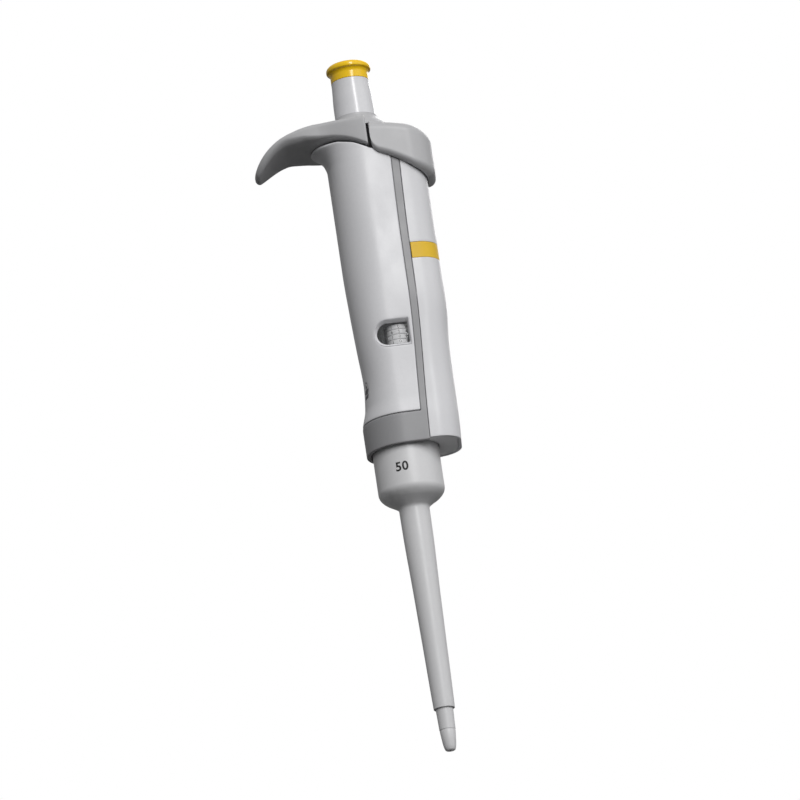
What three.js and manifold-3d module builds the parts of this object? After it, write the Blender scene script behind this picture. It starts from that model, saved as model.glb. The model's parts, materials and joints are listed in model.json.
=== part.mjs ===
// Adjustable single-channel micropipette with a side ejector, built piece by piece.
// Millimetres, +Z up along the pipette's axis. Heights in this file are measured from the lower end
// of the tip cone; the finger hook points to -X, the tip ejector to +X and the display to -Y.
// The whole model is then set so that its origin is the flat land under the hook, by which it hangs.
import * as THREE from 'three';
import { mergeVertices } from 'three/addons/utils/BufferGeometryUtils.js';
import Module from 'manifold-3d';

const wasm = await Module();
wasm.setup();

// ---------------------------------------------------------------- driving dimensions
const TOTAL_HEIGHT = 237;
const GAP = 0.3; // clearance between pieces that only rest on each other
const RUNNING = 0.15; // radial clearance of turning and sliding pieces
const ROUND = 28; // sides of a large round piece
const SMALL_ROUND = 14; // sides of a small round piece

// handle: levels and wall
const COLLAR_BOTTOM = 101;
const SHELL_BOTTOM = 111.3;
const BODY_TOP = 203;
const WALL = 1.4;
const CORNER_R = 5.5;

// hook and head
const HOOK_TIP_X = -35.8;
const HOOK_LAND_Z = 208;
const HOOK_LAND_X = -21;
const HEAD_TOP = 215;
const HEAD_HALF_DEPTH = 13.5;
const SPLIT_X = 3.3; // plane between the head and the ejector button
const BOSS_R = 9.0;
const STEM_BORE_R = 7.0;

// control button
const STEM_R = 6.3;
const STEM_FOOT_R = 6.7;
const STEM_FOOT_Z = 218.2;
const STEM_BOTTOM = 213;
const CAP_BOTTOM = 231;
const CAP_RIM_R = 7.4;
const ROD_R = 2.0;
const ROD_BOTTOM = 128;

// ejector
const BUTTON_X = 23.4;
const BUTTON_HALF_DEPTH = 14.2;
const BUTTON_WALL = 1.2;
const EJECTOR_ROD_X = 14.5;
const BAND_Z = 163.6;
const BAND_HEIGHT = 5.4;
const SLEEVE_END = 14;
const SLEEVE_R = 10.9;
const SLEEVE_TOP = 108;

// tip cone and lower housing
const HOUSING_BOTTOM = 89;
const HOUSING_R = 9.3;
const PISTON_R = 1.2;
const PISTON_BOTTOM = 45;
const PISTON_TOP = 125.4;

// volume counter
const WHEEL_X = 3.2;
const WHEEL_Y = -5.95;
const WHEEL_R = 3.95;
const WHEEL_COUNT = 4;
const WHEEL_PITCH = 1.7;
const WHEEL_THICK = 1.55;
const FIRST_WHEEL_Z = 135.35;
const AXLE_R = 0.6;
const GEAR_TEETH = 32;
const PINION_TEETH = 8;
const GEAR_Z = 133;
const GEAR_THICK = 1.8;
const DIAL_SLEEVE_R = 2.6;

// ---------------------------------------------------------------- materials
const material = (color, roughness, metalness = 0) =>
  new THREE.MeshStandardMaterial({ color, roughness, metalness });
const whitePlastic = () => material(0xd6d6d8, 0.45);
const glossWhitePlastic = () => material(0xd2d2d4, 0.2);
const greyPlastic = () => material(0xa3a3a5, 0.5);
const lightGreyPlastic = () => material(0xbfbfc1, 0.45);
const darkPlastic = () => material(0x5a5a5e, 0.6);
const blackPlastic = () => material(0x1c1c1e, 0.6);
const yellowPlastic = () => material(0xf5c518, 0.3);
const steel = () => material(0xb9bcc0, 0.25, 0.9);
const clearPlastic = () => material(0xe8eef2, 0.05);
const sealRubber = () => material(0x2a2a2c, 0.8);

// ---------------------------------------------------------------- solids
// A closed three.js geometry as a solid, turned right side out if need be.
function solid(geometry) {
  geometry.deleteAttribute('normal');
  geometry.deleteAttribute('uv');
  const merged = mergeVertices(geometry, 1e-4);
  const points = merged.attributes.position.array;
  const index = Uint32Array.from(merged.index.array);
  const kept = [];
  for (let i = 0; i < index.length; i += 3) {
    const [a, b, c] = index.subarray(i, i + 3);
    if (a !== b && b !== c && c !== a) kept.push(a, b, c);
  }
  const corner = (i) => new THREE.Vector3().fromArray(points, 3 * i);
  let volume = 0;
  for (let i = 0; i < kept.length; i += 3) {
    const [a, b, c] = [corner(kept[i]), corner(kept[i + 1]), corner(kept[i + 2])];
    volume += a.dot(b.cross(c));
  }
  if (volume < 0) kept.reverse();
  const vertProperties = Float32Array.from(points);
  const triVerts = Uint32Array.from(kept);
  return new wasm.Manifold(new wasm.Mesh({ numProp: 3, vertProperties, triVerts }));
}

// A ring or turned piece: [radius, height] points of half its section, round the Z axis.
function turned(profile, sides = ROUND, x = 0, y = 0) {
  const points = profile.map(([r, z]) => new THREE.Vector2(r, z));
  points.push(points[0].clone());
  const geometry = new THREE.LatheGeometry(points, sides);
  geometry.rotateX(Math.PI / 2);
  geometry.translate(x, y, 0);
  return solid(geometry);
}

function tube(inner, outer, z0, z1, sides = ROUND, x = 0, y = 0) {
  const profile = [[inner, z0], [outer, z0], [outer, z1], [inner, z1]];
  return turned(profile, sides, x, y);
}

function rod(radius, z0, z1, sides = SMALL_ROUND, x = 0, y = 0) {
  const geometry = new THREE.CylinderGeometry(radius, radius, z1 - z0, sides);
  geometry.rotateX(Math.PI / 2);
  geometry.translate(x, y, (z0 + z1) / 2);
  return solid(geometry);
}

function box(x0, x1, y0, y1, z0, z1) {
  const geometry = new THREE.BoxGeometry(x1 - x0, y1 - y0, z1 - z0);
  geometry.translate((x0 + x1) / 2, (y0 + y1) / 2, (z0 + z1) / 2);
  return solid(geometry);
}

// A plan outline raised from z0 to z1.
function raised(shape, z0, z1, curveSegments = 6) {
  const settings = { depth: z1 - z0, bevelEnabled: false, curveSegments };
  const geometry = new THREE.ExtrudeGeometry(shape, settings);
  geometry.translate(0, 0, z0);
  return solid(geometry);
}

// A side outline in X and Z, made as deep as halfDepth to the front and back.
function sideOutline(shape, halfDepth, curveSegments = 6) {
  const settings = { depth: 2 * halfDepth, bevelEnabled: false, curveSegments };
  const geometry = new THREE.ExtrudeGeometry(shape, settings);
  geometry.rotateX(Math.PI / 2);
  geometry.translate(0, halfDepth, 0);
  return solid(geometry);
}

function polygon(points) {
  return new THREE.Shape(points.map(([x, y]) => new THREE.Vector2(x, y)));
}

// ---------------------------------------------------------------- the handle's form
// Each row: height, left radius, half depth at the axis, rail's reach to the right, rail's half depth.
const FORM = [
  [COLLAR_BOTTOM, 12.8, 12.8, 18.4, 10.8],
  [110, 12.8, 12.8, 18.9, 10.8],
  [117, 11.1, 12.2, 19.0, 10.6],
  [126, 10.4, 12.0, 19.1, 10.4],
  [137, 10.95, 12.2, 19.4, 10.4],
  [150, 11.5, 12.4, 20.4, 10.4],
  [165, 11.9, 12.6, 20.4, 10.5],
  [200, 11.9, 12.6, 20.4, 10.5],
  [203, 12.6, 12.6, 20.4, 10.5],
  [205.5, 14.3, 12.7, 20.4, 10.5],
  [207.2, 16.9, 12.8, 20.4, 10.5],
];

function formAt(z) {
  let i = 0;
  while (i < FORM.length - 2 && z > FORM[i + 1][0]) i += 1;
  const t = (z - FORM[i][0]) / (FORM[i + 1][0] - FORM[i][0]);
  return FORM[i].map((value, k) => value + t * (FORM[i + 1][k] - value));
}

// The outline round an ellipse about the axis and two round corners of the rail, drawn inset by
// the given amount. Its points are where lines of equally spread directions touch it.
function handleSection(left, depth, reach, railDepth, inset) {
  const a = left - inset;
  const b = depth - inset;
  const c = Math.max(CORNER_R - inset, 0.5);
  const cx = reach - inset - c;
  const cy = railDepth - inset - c;
  const ellipseSupport = (t) => Math.hypot(a * Math.cos(t), b * Math.sin(t));
  const cornerSupport = (t) => cx * Math.cos(t) + cy * Math.sin(t) + c;
  let low = 0;
  let high = Math.PI / 2;
  for (let step = 0; step < 40; step += 1) {
    const middle = (low + high) / 2;
    if (cornerSupport(middle) > ellipseSupport(middle)) low = middle;
    else high = middle;
  }
  const cornerSteps = 4;
  const ellipseSteps = 8;
  const half = [];
  for (let i = 0; i <= cornerSteps; i += 1) {
    const t = (low * i) / cornerSteps;
    half.push([cx + c * Math.cos(t), cy + c * Math.sin(t)]);
  }
  for (let i = 0; i <= ellipseSteps; i += 1) {
    const t = low + ((Math.PI - low) * i) / ellipseSteps;
    const size = ellipseSupport(t);
    half.push([(a * a * Math.cos(t)) / size, (b * b * Math.sin(t)) / size]);
  }
  const mirrored = half.slice(0, -1).reverse().map(([x, y]) => [x, -y]);
  return half.concat(mirrored);
}

// A solid through sections of equal point counts, one above the other.
function loft(levels) {
  const count = levels[0].outline.length;
  const positions = [];
  for (const { z, outline } of levels) {
    for (const [x, y] of outline) positions.push(x, y, z);
  }
  const index = [];
  for (let level = 0; level < levels.length - 1; level += 1) {
    for (let i = 0; i < count; i += 1) {
      const a = level * count + i;
      const b = level * count + ((i + 1) % count);
      index.push(a, b, b + count, a, b + count, a + count);
    }
  }
  const top = (levels.length - 1) * count;
  for (let i = 1; i < count - 1; i += 1) {
    index.push(0, i + 1, i);
    index.push(top, top + i, top + i + 1);
  }
  const geometry = new THREE.BufferGeometry();
  geometry.setAttribute('position', new THREE.Float32BufferAttribute(positions, 3));
  geometry.setIndex(index);
  return solid(geometry);
}

// The handle's form between two heights, inset all round.
function handleForm(z0, z1, inset = 0) {
  const heights = FORM.map((row) => row[0]).filter((z) => z > z0 + 0.01 && z < z1 - 0.01);
  const levels = [z0, ...heights, z1].map((z) => {
    const [, left, depth, reach, railDepth] = formAt(z);
    return { z, outline: handleSection(left, depth, reach, railDepth, inset) };
  });
  return loft(levels);
}

// The grey strips lean: their left and right edges are straight lines in the side view.
const stripLeft = (z) => 6.7 + 0.0325 * (z - 112);
const stripRight = (z) => 8.8 + 0.0386 * (z - 112);

// Everything left or right of a leaning edge, as a block to cut with.
function beside(edge, direction, shift = 0) {
  const [z0, z1] = [COLLAR_BOTTOM - 10, HEAD_TOP + 10];
  const far = 60 * direction;
  const outline = [[far, z0], [edge(z0) + shift, z0], [edge(z1) + shift, z1], [far, z1]];
  return sideOutline(polygon(outline), 40);
}

// ---------------------------------------------------------------- model
const model = new THREE.Group();
model.name = 'micropipette';
const pipette = new THREE.Group();
pipette.position.set(-HOOK_LAND_X, 0, -HOOK_LAND_Z);
model.add(pipette);

function addPiece(name, shape, look) {
  const { vertProperties, triVerts } = shape.getMesh();
  const geometry = new THREE.BufferGeometry();
  geometry.setAttribute('position', new THREE.Float32BufferAttribute(vertProperties, 3));
  geometry.setIndex(new THREE.Uint32BufferAttribute(triVerts, 1));
  const mesh = new THREE.Mesh(geometry, look);
  mesh.name = name;
  pipette.add(mesh);
}

// ---------------------------------------------------------------- handle
// The upper edge of the handle under the head and the ejector button, seen from the front.
const SHOULDER = [[-60, 207.2], [-8, 207.2], [-2, 205.7], [3.5, 203], [60, 203]];

function belowShoulder() {
  const outline = [[60, COLLAR_BOTTOM - 10], ...SHOULDER.slice().reverse(), [-60, COLLAR_BOTTOM - 10]];
  return sideOutline(polygon(outline), 40);
}

// D-shaped display opening: round to the left, straight to the right.
const WINDOW = { left: -3.6, right: 7.2, bottom: 135, top: 142.4 };

function windowBlock(grow, right) {
  const { left, bottom, top } = WINDOW;
  const radius = (top - bottom) / 2 + grow;
  const middle = (top + bottom) / 2;
  const shape = new THREE.Shape();
  shape.moveTo(right, middle - radius);
  shape.lineTo(right, middle + radius);
  shape.lineTo(left - grow + radius, middle + radius);
  shape.absarc(left - grow + radius, middle, radius, Math.PI / 2, 1.5 * Math.PI, false);
  shape.closePath();
  return sideOutline(shape, 20).intersect(box(-20, 20, -20, 0, bottom - 5, top + 5));
}

// The seal over the adjusting screw is an upright oval on the left of the front.
const SEAL = { angle: (207 * Math.PI) / 180, z: 122.5, halfWidth: 1.3, halfHeight: 2.6 };

function sealBlock(grow) {
  const geometry = new THREE.CylinderGeometry(1, 1, 12, SMALL_ROUND);
  geometry.rotateX(Math.PI / 2);
  geometry.scale(SEAL.halfWidth + grow, 1, 1);
  geometry.rotateX(Math.PI / 2);
  geometry.scale(1, 1, SEAL.halfHeight + grow);
  geometry.translate(0, -12, 0);
  geometry.rotateZ(SEAL.angle + Math.PI / 2);
  geometry.translate(0, 0, SEAL.z);
  return solid(geometry);
}

function handleShell() {
  const top = FORM[FORM.length - 1][0];
  const outer = handleForm(SHELL_BOTTOM, top);
  const inner = handleForm(SHELL_BOTTOM - 1, 200, WALL).add(handleForm(199.9, top + 1, WALL + 1));
  return outer
    .subtract(inner)
    .intersect(beside(stripLeft, -1, -RUNNING))
    .intersect(belowShoulder())
    .subtract(windowBlock(GAP, 20))
    .subtract(sealBlock(GAP));
}

// The grey frame: an open collar at the bottom, a strip up the front and back, and three decks.
function coreFrame() {
  const skin = handleForm(COLLAR_BOTTOM, BODY_TOP).subtract(handleForm(COLLAR_BOTTOM - 1, BODY_TOP + 1, WALL));
  const leftOfRail = beside(stripRight, -1);
  const strips = skin.intersect(beside(stripLeft, 1)).intersect(leftOfRail);
  const collar = skin
    .intersect(box(-20, 20, -20, 20, COLLAR_BOTTOM, SHELL_BOTTOM - GAP))
    .intersect(leftOfRail);
  const deck = (z0, z1, hole) => {
    const plate = handleForm(z0, z1, WALL - 0.1).intersect(leftOfRail);
    const clearOfShell = handleForm(z0, z1, WALL + GAP).add(beside(stripLeft, 1));
    return plate.intersect(clearOfShell).subtract(rod(hole, z0 - 1, z1 + 1, ROUND));
  };
  const collarDeck = handleForm(109.2, SHELL_BOTTOM - GAP, WALL - 0.1)
    .intersect(leftOfRail)
    .subtract(rod(9.6, 100, 112, ROUND));
  const tongue = box(7.5, 17.2, -5.5, 5.5, 150, 152)
    .subtract(rod(1.9, 149, 153, SMALL_ROUND, EJECTOR_ROD_X));
  return strips
    .add(collar)
    .add(collarDeck)
    .add(deck(150, 152, 7.2).intersect(box(6.3, 20, -20, 20, 149, 153)))
    .add(tongue)
    .add(deck(186, 188, 6.5));
}

// Side view of the head and hook, from the split plane round the hook's tip.
function headOutline() {
  const shape = new THREE.Shape();
  shape.moveTo(SPLIT_X, 203.6);
  shape.lineTo(SPLIT_X, HEAD_TOP);
  shape.lineTo(-13.8, HEAD_TOP);
  shape.bezierCurveTo(-26, HEAD_TOP - 0.6, -33.5, 209, -35.6, 203.2);
  shape.quadraticCurveTo(-36.2, 200.8, -34.2, 201.4);
  shape.bezierCurveTo(-30.5, 204.6, -28, 207, HOOK_LAND_X - 3, HOOK_LAND_Z);
  shape.lineTo(HOOK_LAND_X + 3, HOOK_LAND_Z);
  shape.lineTo(-16.8, 207.5);
  shape.lineTo(-8, 207.5);
  shape.lineTo(-2, 206);
  shape.closePath();
  return sideOutline(shape, 20, 10);
}

// Plan of the head and hook: as wide as the handle at the axis, narrowing to a round tip.
function headPlan() {
  const d = HEAD_HALF_DEPTH;
  const shape = new THREE.Shape();
  shape.moveTo(SPLIT_X, -d);
  shape.lineTo(SPLIT_X, d);
  shape.bezierCurveTo(-4, d, -9, 11.8, -13, 11.8);
  shape.bezierCurveTo(-24, 11.8, HOOK_TIP_X, 9.5, HOOK_TIP_X, 0);
  shape.bezierCurveTo(HOOK_TIP_X, -9.5, -24, -11.8, -13, -11.8);
  shape.bezierCurveTo(-9, -11.8, -4, -d, SPLIT_X, -d);
  return raised(shape, 195, 220, 8);
}

function headShell() {
  const boss = rod(BOSS_R, 205, HEAD_TOP, ROUND);
  const bore = rod(STEM_BORE_R, 195, 220, ROUND);
  return headOutline().intersect(headPlan()).add(boss).subtract(bore);
}

addPiece('core_frame', coreFrame(), greyPlastic());
addPiece('handle_shell', handleShell(), whitePlastic());
addPiece('head_shell', headShell(), greyPlastic());

const NECK_BOTTOM = HEAD_TOP + 0.2;
const neckProfile = [
  [STEM_BORE_R, NECK_BOTTOM],
  [9.3, NECK_BOTTOM],
  [9.1, NECK_BOTTOM + 0.7],
  [7.6, NECK_BOTTOM + 2.8],
  [STEM_BORE_R, NECK_BOTTOM + 2.8],
];
addPiece('neck_ring', turned(neckProfile), greyPlastic());

const lens = handleForm(130, 147)
  .subtract(handleForm(129, 148, WALL))
  .intersect(windowBlock(0, WINDOW.right));
addPiece('display_lens', lens, clearPlastic());

const sealPlug = handleForm(115, 130)
  .subtract(handleForm(114, 131, WALL))
  .intersect(sealBlock(0));
addPiece('adjustment_seal', sealPlug, lightGreyPlastic());

// ---------------------------------------------------------------- volume counter
const axleX = WHEEL_X;
const axleY = WHEEL_Y;
const lastWheelTop = FIRST_WHEEL_Z + (WHEEL_COUNT - 1) * WHEEL_PITCH + WHEEL_THICK;
const LOWER_PLATE = [131, 132.4];
const UPPER_PLATE = [lastWheelTop + 0.6, lastWheelTop + 1.8];
const TRANSFER_X = -2.6;
const TRANSFER_Y = -6.6;

function counterFrame() {
  const plate = ([z0, z1]) =>
    handleForm(z0, z1, WALL + GAP)
      .intersect(box(-20, 6, -20, 20, z0 - 1, z1 + 1))
      .subtract(rod(DIAL_SLEEVE_R + GAP, z0 - 1, z1 + 1, ROUND))
      .subtract(rod(AXLE_R + 0.1, z0 - 1, z1 + 1, SMALL_ROUND, axleX, axleY))
      .subtract(rod(AXLE_R + 0.1, z0 - 1, z1 + 1, SMALL_ROUND, TRANSFER_X, TRANSFER_Y));
  const pillar = box(-4.4, 4.4, 7.6, 8.9, LOWER_PLATE[0], UPPER_PLATE[1]);
  return plate(LOWER_PLATE).add(plate(UPPER_PLATE)).add(pillar);
}

addPiece('counter_frame', counterFrame(), darkPlastic());
addPiece('wheel_axle', rod(AXLE_R, 130.6, UPPER_PLATE[1] + 0.4, SMALL_ROUND, axleX, axleY), steel());
addPiece(
  'transfer_axle',
  rod(AXLE_R, 130.6, UPPER_PLATE[1] + 0.4, SMALL_ROUND, TRANSFER_X, TRANSFER_Y),
  steel(),
);

const mask = handleForm(133.4, 143)
  .subtract(handleForm(133, 144, WALL + 0.9))
  .intersect(handleForm(133, 144, WALL + 0.3))
  .intersect(box(-5.5, 7.2, -20, 0, 134.9, 142.5))
  .subtract(box(-1.2, 20, -20, 0, 135.1, 142.3))
  .subtract(box(6, 20, -20, 20, 130, 150));
addPiece('display_mask', mask, blackPlastic());

// A spur gear outline with straight-flanked teeth.
function gearShape(teeth, module_, toothShare, hole, holeSides) {
  const pitchR = (teeth * module_) / 2;
  const tipR = pitchR + 0.75 * module_;
  const rootR = pitchR - 1.05 * module_;
  const points = [];
  for (let i = 0; i < teeth; i += 1) {
    const centre = (2 * Math.PI * i) / teeth;
    const halfRoot = (Math.PI / teeth) * (toothShare + 0.22);
    const halfTip = (Math.PI / teeth) * (toothShare - 0.2);
    const corners = [[-halfRoot, rootR], [-halfTip, tipR], [halfTip, tipR], [halfRoot, rootR]];
    for (const [turn, r] of corners) {
      points.push([r * Math.cos(centre + turn), r * Math.sin(centre + turn)]);
    }
  }
  const shape = polygon(points);
  const opening = [];
  for (let i = 0; i < holeSides; i += 1) {
    const t = (2 * Math.PI * i) / holeSides;
    opening.push(new THREE.Vector2(hole * Math.cos(t), hole * Math.sin(t)));
  }
  shape.holes.push(new THREE.Path(opening));
  return shape;
}

const centreDistance = Math.hypot(WHEEL_X, WHEEL_Y);
const GEAR_MODULE = (2 * centreDistance) / (GEAR_TEETH + PINION_TEETH);
const TOOTH_SHARE = 0.42;
const towardsWheel = Math.atan2(WHEEL_Y, WHEEL_X);

// The drive gear has a tooth gap facing the wheel axle, where the pinion has a tooth.
const gearTurn = towardsWheel + Math.PI / GEAR_TEETH;
const gearOutline = gearShape(GEAR_TEETH, GEAR_MODULE, TOOTH_SHARE, DIAL_SLEEVE_R + RUNNING, SMALL_ROUND);
const driveGear = raised(gearOutline, GEAR_Z, GEAR_Z + GEAR_THICK).rotate([0, 0, (gearTurn * 180) / Math.PI]);
addPiece('drive_gear', driveGear, lightGreyPlastic());

// Volume wheels, the finest at the bottom with the pinion under it.
for (let i = 0; i < WHEEL_COUNT; i += 1) {
  const z0 = FIRST_WHEEL_Z + i * WHEEL_PITCH;
  let wheel = tube(AXLE_R + RUNNING, WHEEL_R, z0, z0 + WHEEL_THICK, ROUND, axleX, axleY);
  if (i === 0) {
    const outline = gearShape(PINION_TEETH, GEAR_MODULE, TOOTH_SHARE, AXLE_R + RUNNING, SMALL_ROUND);
    const pinionTurn = towardsWheel + Math.PI;
    const pinion = raised(outline, GEAR_Z - 0.2, z0 + 0.1)
      .rotate([0, 0, (pinionTurn * 180) / Math.PI])
      .translate([axleX, axleY, 0]);
    wheel = wheel.add(pinion);
  }
  addPiece(`volume_wheel_${i + 1}`, wheel, glossWhitePlastic());
}

// Transfer pinions carry each wheel's turns on to the next one.
for (let i = 0; i < WHEEL_COUNT - 1; i += 1) {
  const z0 = FIRST_WHEEL_Z + i * WHEEL_PITCH + 0.5 * WHEEL_THICK;
  const outline = gearShape(8, 0.28, 0.45, AXLE_R + 0.1, 8);
  const pinion = raised(outline, z0, z0 + WHEEL_PITCH - 0.3).translate([TRANSFER_X, TRANSFER_Y, 0]);
  addPiece(`transfer_pinion_${i + 1}`, pinion, steel());
}

// ---------------------------------------------------------------- dial and volume stop
const DETENT_Z = 161;
const hexHole = (z0, z1) => rod(ROD_R + RUNNING, z0, z1, 6);
addPiece('dial_sleeve', rod(DIAL_SLEEVE_R, 129, 164.6, ROUND).subtract(hexHole(120, 170)), steel());

const detentNotches = gearShape(24, 0.36, 0.5, DIAL_SLEEVE_R + RUNNING, SMALL_ROUND);
addPiece('detent_ring', raised(detentNotches, DETENT_Z, DETENT_Z + 2), darkPlastic());

const PIN_X = -7.3;
const NUT_Z = 145;
const stopNut = tube(DIAL_SLEEVE_R + RUNNING, 6, NUT_Z, NUT_Z + 4)
  .add(box(-8.6, -5.4, -1.9, 1.9, NUT_Z, NUT_Z + 4))
  .subtract(rod(1.05, NUT_Z - 1, NUT_Z + 5, SMALL_ROUND, PIN_X));
addPiece('volume_stop_nut', stopNut, darkPlastic());
addPiece('guide_pin', rod(0.9, UPPER_PLATE[1] + GAP, 164.6, SMALL_ROUND, PIN_X), steel());

const bearingPlate = tube(DIAL_SLEEVE_R + GAP, 8.2, 165, 168)
  .subtract(rod(1.0, 164, 169, SMALL_ROUND, PIN_X));
addPiece('bearing_plate', bearingPlate, darkPlastic());

const detentSpring = box(-1.2, 1.2, 4.6, 4.9, DETENT_Z - 0.2, 164.7)
  .add(box(-1.2, 1.2, 4.6, 6.4, 164.4, 164.7));
addPiece('detent_spring', detentSpring, steel());

// ---------------------------------------------------------------- control button and stroke rod
const capProfile = [
  [0, CAP_BOTTOM],
  [STEM_R, CAP_BOTTOM],
  [STEM_R, 233.6],
  [6.6, 234.3],
  [CAP_RIM_R, 234.8],
  [CAP_RIM_R, 236],
  [6.8, TOTAL_HEIGHT - 0.25],
  [5.4, TOTAL_HEIGHT],
  [0, TOTAL_HEIGHT],
];
addPiece('button_cap', turned(capProfile), yellowPlastic());

const stemProfile = [
  [0, STEM_BOTTOM],
  [STEM_FOOT_R, STEM_BOTTOM],
  [STEM_FOOT_R, STEM_FOOT_Z + 0.8],
  [6.55, 222],
  [STEM_R, CAP_BOTTOM - 0.2],
  [0, CAP_BOTTOM - 0.2],
];
const ROD_TOP = 226;
const rodSocket = rod(ROD_R + RUNNING, STEM_BOTTOM - 1, ROD_TOP + 0.3, 6);
addPiece('button_stem', turned(stemProfile).subtract(rodSocket), glossWhitePlastic());

const ROD_FLANGE_Z = 190;
const strokeRod = rod(ROD_R, ROD_BOTTOM, ROD_TOP, 6).add(rod(4.5, ROD_FLANGE_Z, ROD_FLANGE_Z + 2, ROUND));
addPiece('stroke_rod', strokeRod, steel());

// ---------------------------------------------------------------- springs
class Helix extends THREE.Curve {
  constructor(radius, z0, z1, turns) {
    super();
    Object.assign(this, { radius, z0, z1, turns });
  }

  getPoint(t, target = new THREE.Vector3()) {
    const angle = 2 * Math.PI * this.turns * t;
    const z = this.z0 + (this.z1 - this.z0) * t;
    return target.set(this.radius * Math.cos(angle), this.radius * Math.sin(angle), z);
  }
}

function coilSpring(radius, wire, z0, z1, turns, x = 0) {
  const path = new Helix(radius, z0 + wire, z1 - wire, turns);
  const section = new THREE.Shape().absarc(0, 0, wire, 0, 2 * Math.PI, false);
  const steps = Math.round(turns * 9);
  const settings = { steps, extrudePath: path, curveSegments: 3 };
  const geometry = new THREE.ExtrudeGeometry(section, settings);
  geometry.translate(x, 0, 0);
  return solid(geometry);
}

const CUP_FLOOR = 98;
addPiece('button_spring', coilSpring(3.6, 0.35, 168.2, ROD_FLANGE_Z - 0.2, 6), steel());
addPiece('piston_spring', coilSpring(3.0, 0.3, CUP_FLOOR + 0.2, PISTON_TOP - 2.4, 7), steel());
addPiece('cone_spring', coilSpring(6.6, 0.4, 91.8, 105.4, 4), steel());
addPiece('ejector_spring', coilSpring(2.4, 0.3, 152.2, 181.8, 7, EJECTOR_ROD_X), steel());

// ---------------------------------------------------------------- piston
const pistonBottom = rod(PISTON_R, PISTON_BOTTOM, PISTON_TOP - 2, SMALL_ROUND);
addPiece('piston', pistonBottom, steel());
const headTop = ROD_BOTTOM - GAP;
const headProfile = [
  [0, PISTON_TOP - 1.8],
  [1.8, PISTON_TOP - 1.8],
  [4.2, PISTON_TOP - 1.8],
  [4.2, headTop - 1.4],
  [1.9, headTop],
  [0, headTop],
];
addPiece('piston_head', turned(headProfile, ROUND), darkPlastic());

// ---------------------------------------------------------------- lower housing and tip cone
const housingProfile = [
  [3.2, HOUSING_BOTTOM],
  [8.6, HOUSING_BOTTOM],
  [HOUSING_R, HOUSING_BOTTOM + 0.8],
  [HOUSING_R, 112],
  [8.3, 112],
  [8.3, HOUSING_BOTTOM + 1],
  [3.2, HOUSING_BOTTOM + 1],
];
addPiece('lower_housing', turned(housingProfile), greyPlastic());

const capRingProfile = [
  [1.6, CUP_FLOOR - 1],
  [4.6, CUP_FLOOR - 1],
  [4.6, 105.8],
  [8.0, 105.8],
  [8.0, 108.8],
  [3.8, 108.8],
  [3.8, CUP_FLOOR],
  [1.6, CUP_FLOOR],
];
addPiece('housing_cap', turned(capRingProfile), darkPlastic());

const coneProfile = [
  [0.5, 0],
  [1.75, 0],
  [2.0, 0.5],
  [2.45, 3],
  [2.85, 14],
  [2.85, 90.3],
  [8.0, 90.3],
  [8.0, 91.5],
  [3.4, 91.5],
  [3.4, 94.6],
  [2.5, 94.6],
  [2.5, 92.2],
  [1.35, 92.2],
  [1.35, 27],
  [0.5, 25],
];
addPiece('tip_cone', turned(coneProfile, 20), lightGreyPlastic());
addPiece('piston_seal', tube(PISTON_R + 0.1, 2.35, 92.4, 93.5, SMALL_ROUND), sealRubber());
addPiece('seal_retainer', tube(PISTON_R + 0.2, 2.35, 93.7, 94.6, SMALL_ROUND), whitePlastic());

// ---------------------------------------------------------------- ejector
const sleeveOuter = [
  [3.6, SLEEVE_END],
  [3.86, 20],
  [4.15, 35],
  [4.6, 56],
  [5.0, 70],
  [5.1, 82.5],
  [6.3, 84.0],
  [SLEEVE_R, 87.3],
  [SLEEVE_R, SLEEVE_TOP],
];
const sleeveInner = [
  [9.9, SLEEVE_TOP],
  [9.9, 88.3],
  [5.4, 85.2],
  [4.2, 83.5],
  [4.1, 70],
  [3.3, 35],
  [3.05, SLEEVE_END],
];
addPiece('ejector_sleeve', turned(sleeveOuter.concat(sleeveInner)), whitePlastic());

const railBottom = COLLAR_BOTTOM + 0.6;
const railSide = beside(stripRight, 1, RUNNING);

function ejectorRail() {
  const recess = handleForm(BAND_Z - 0.1, BAND_Z + BAND_HEIGHT + 0.1)
    .subtract(handleForm(BAND_Z - 1, BAND_Z + BAND_HEIGHT + 1, 0.6));
  return handleForm(railBottom, BODY_TOP)
    .subtract(handleForm(railBottom - 1, BODY_TOP + 1, WALL))
    .intersect(railSide)
    .subtract(recess);
}
addPiece('ejector_rail', ejectorRail(), whitePlastic());

const band = handleForm(BAND_Z, BAND_Z + BAND_HEIGHT)
  .subtract(handleForm(BAND_Z - 1, BAND_Z + BAND_HEIGHT + 1, 0.5))
  .intersect(beside(stripRight, 1, RUNNING + 0.1));
addPiece('color_band', band, yellowPlastic());

const bridge = handleForm(railBottom + 0.4, railBottom + 3, WALL + GAP)
  .intersect(railSide)
  .subtract(rod(SLEEVE_R + GAP, COLLAR_BOTTOM, 110, ROUND));
addPiece('ejector_bridge', bridge, darkPlastic());

const ejectorRod = rod(1.5, railBottom + 3.3, 206, SMALL_ROUND, EJECTOR_ROD_X)
  .add(rod(3.2, 182, 184, SMALL_ROUND, EJECTOR_ROD_X));
addPiece('ejector_rod', ejectorRod, steel());

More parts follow.
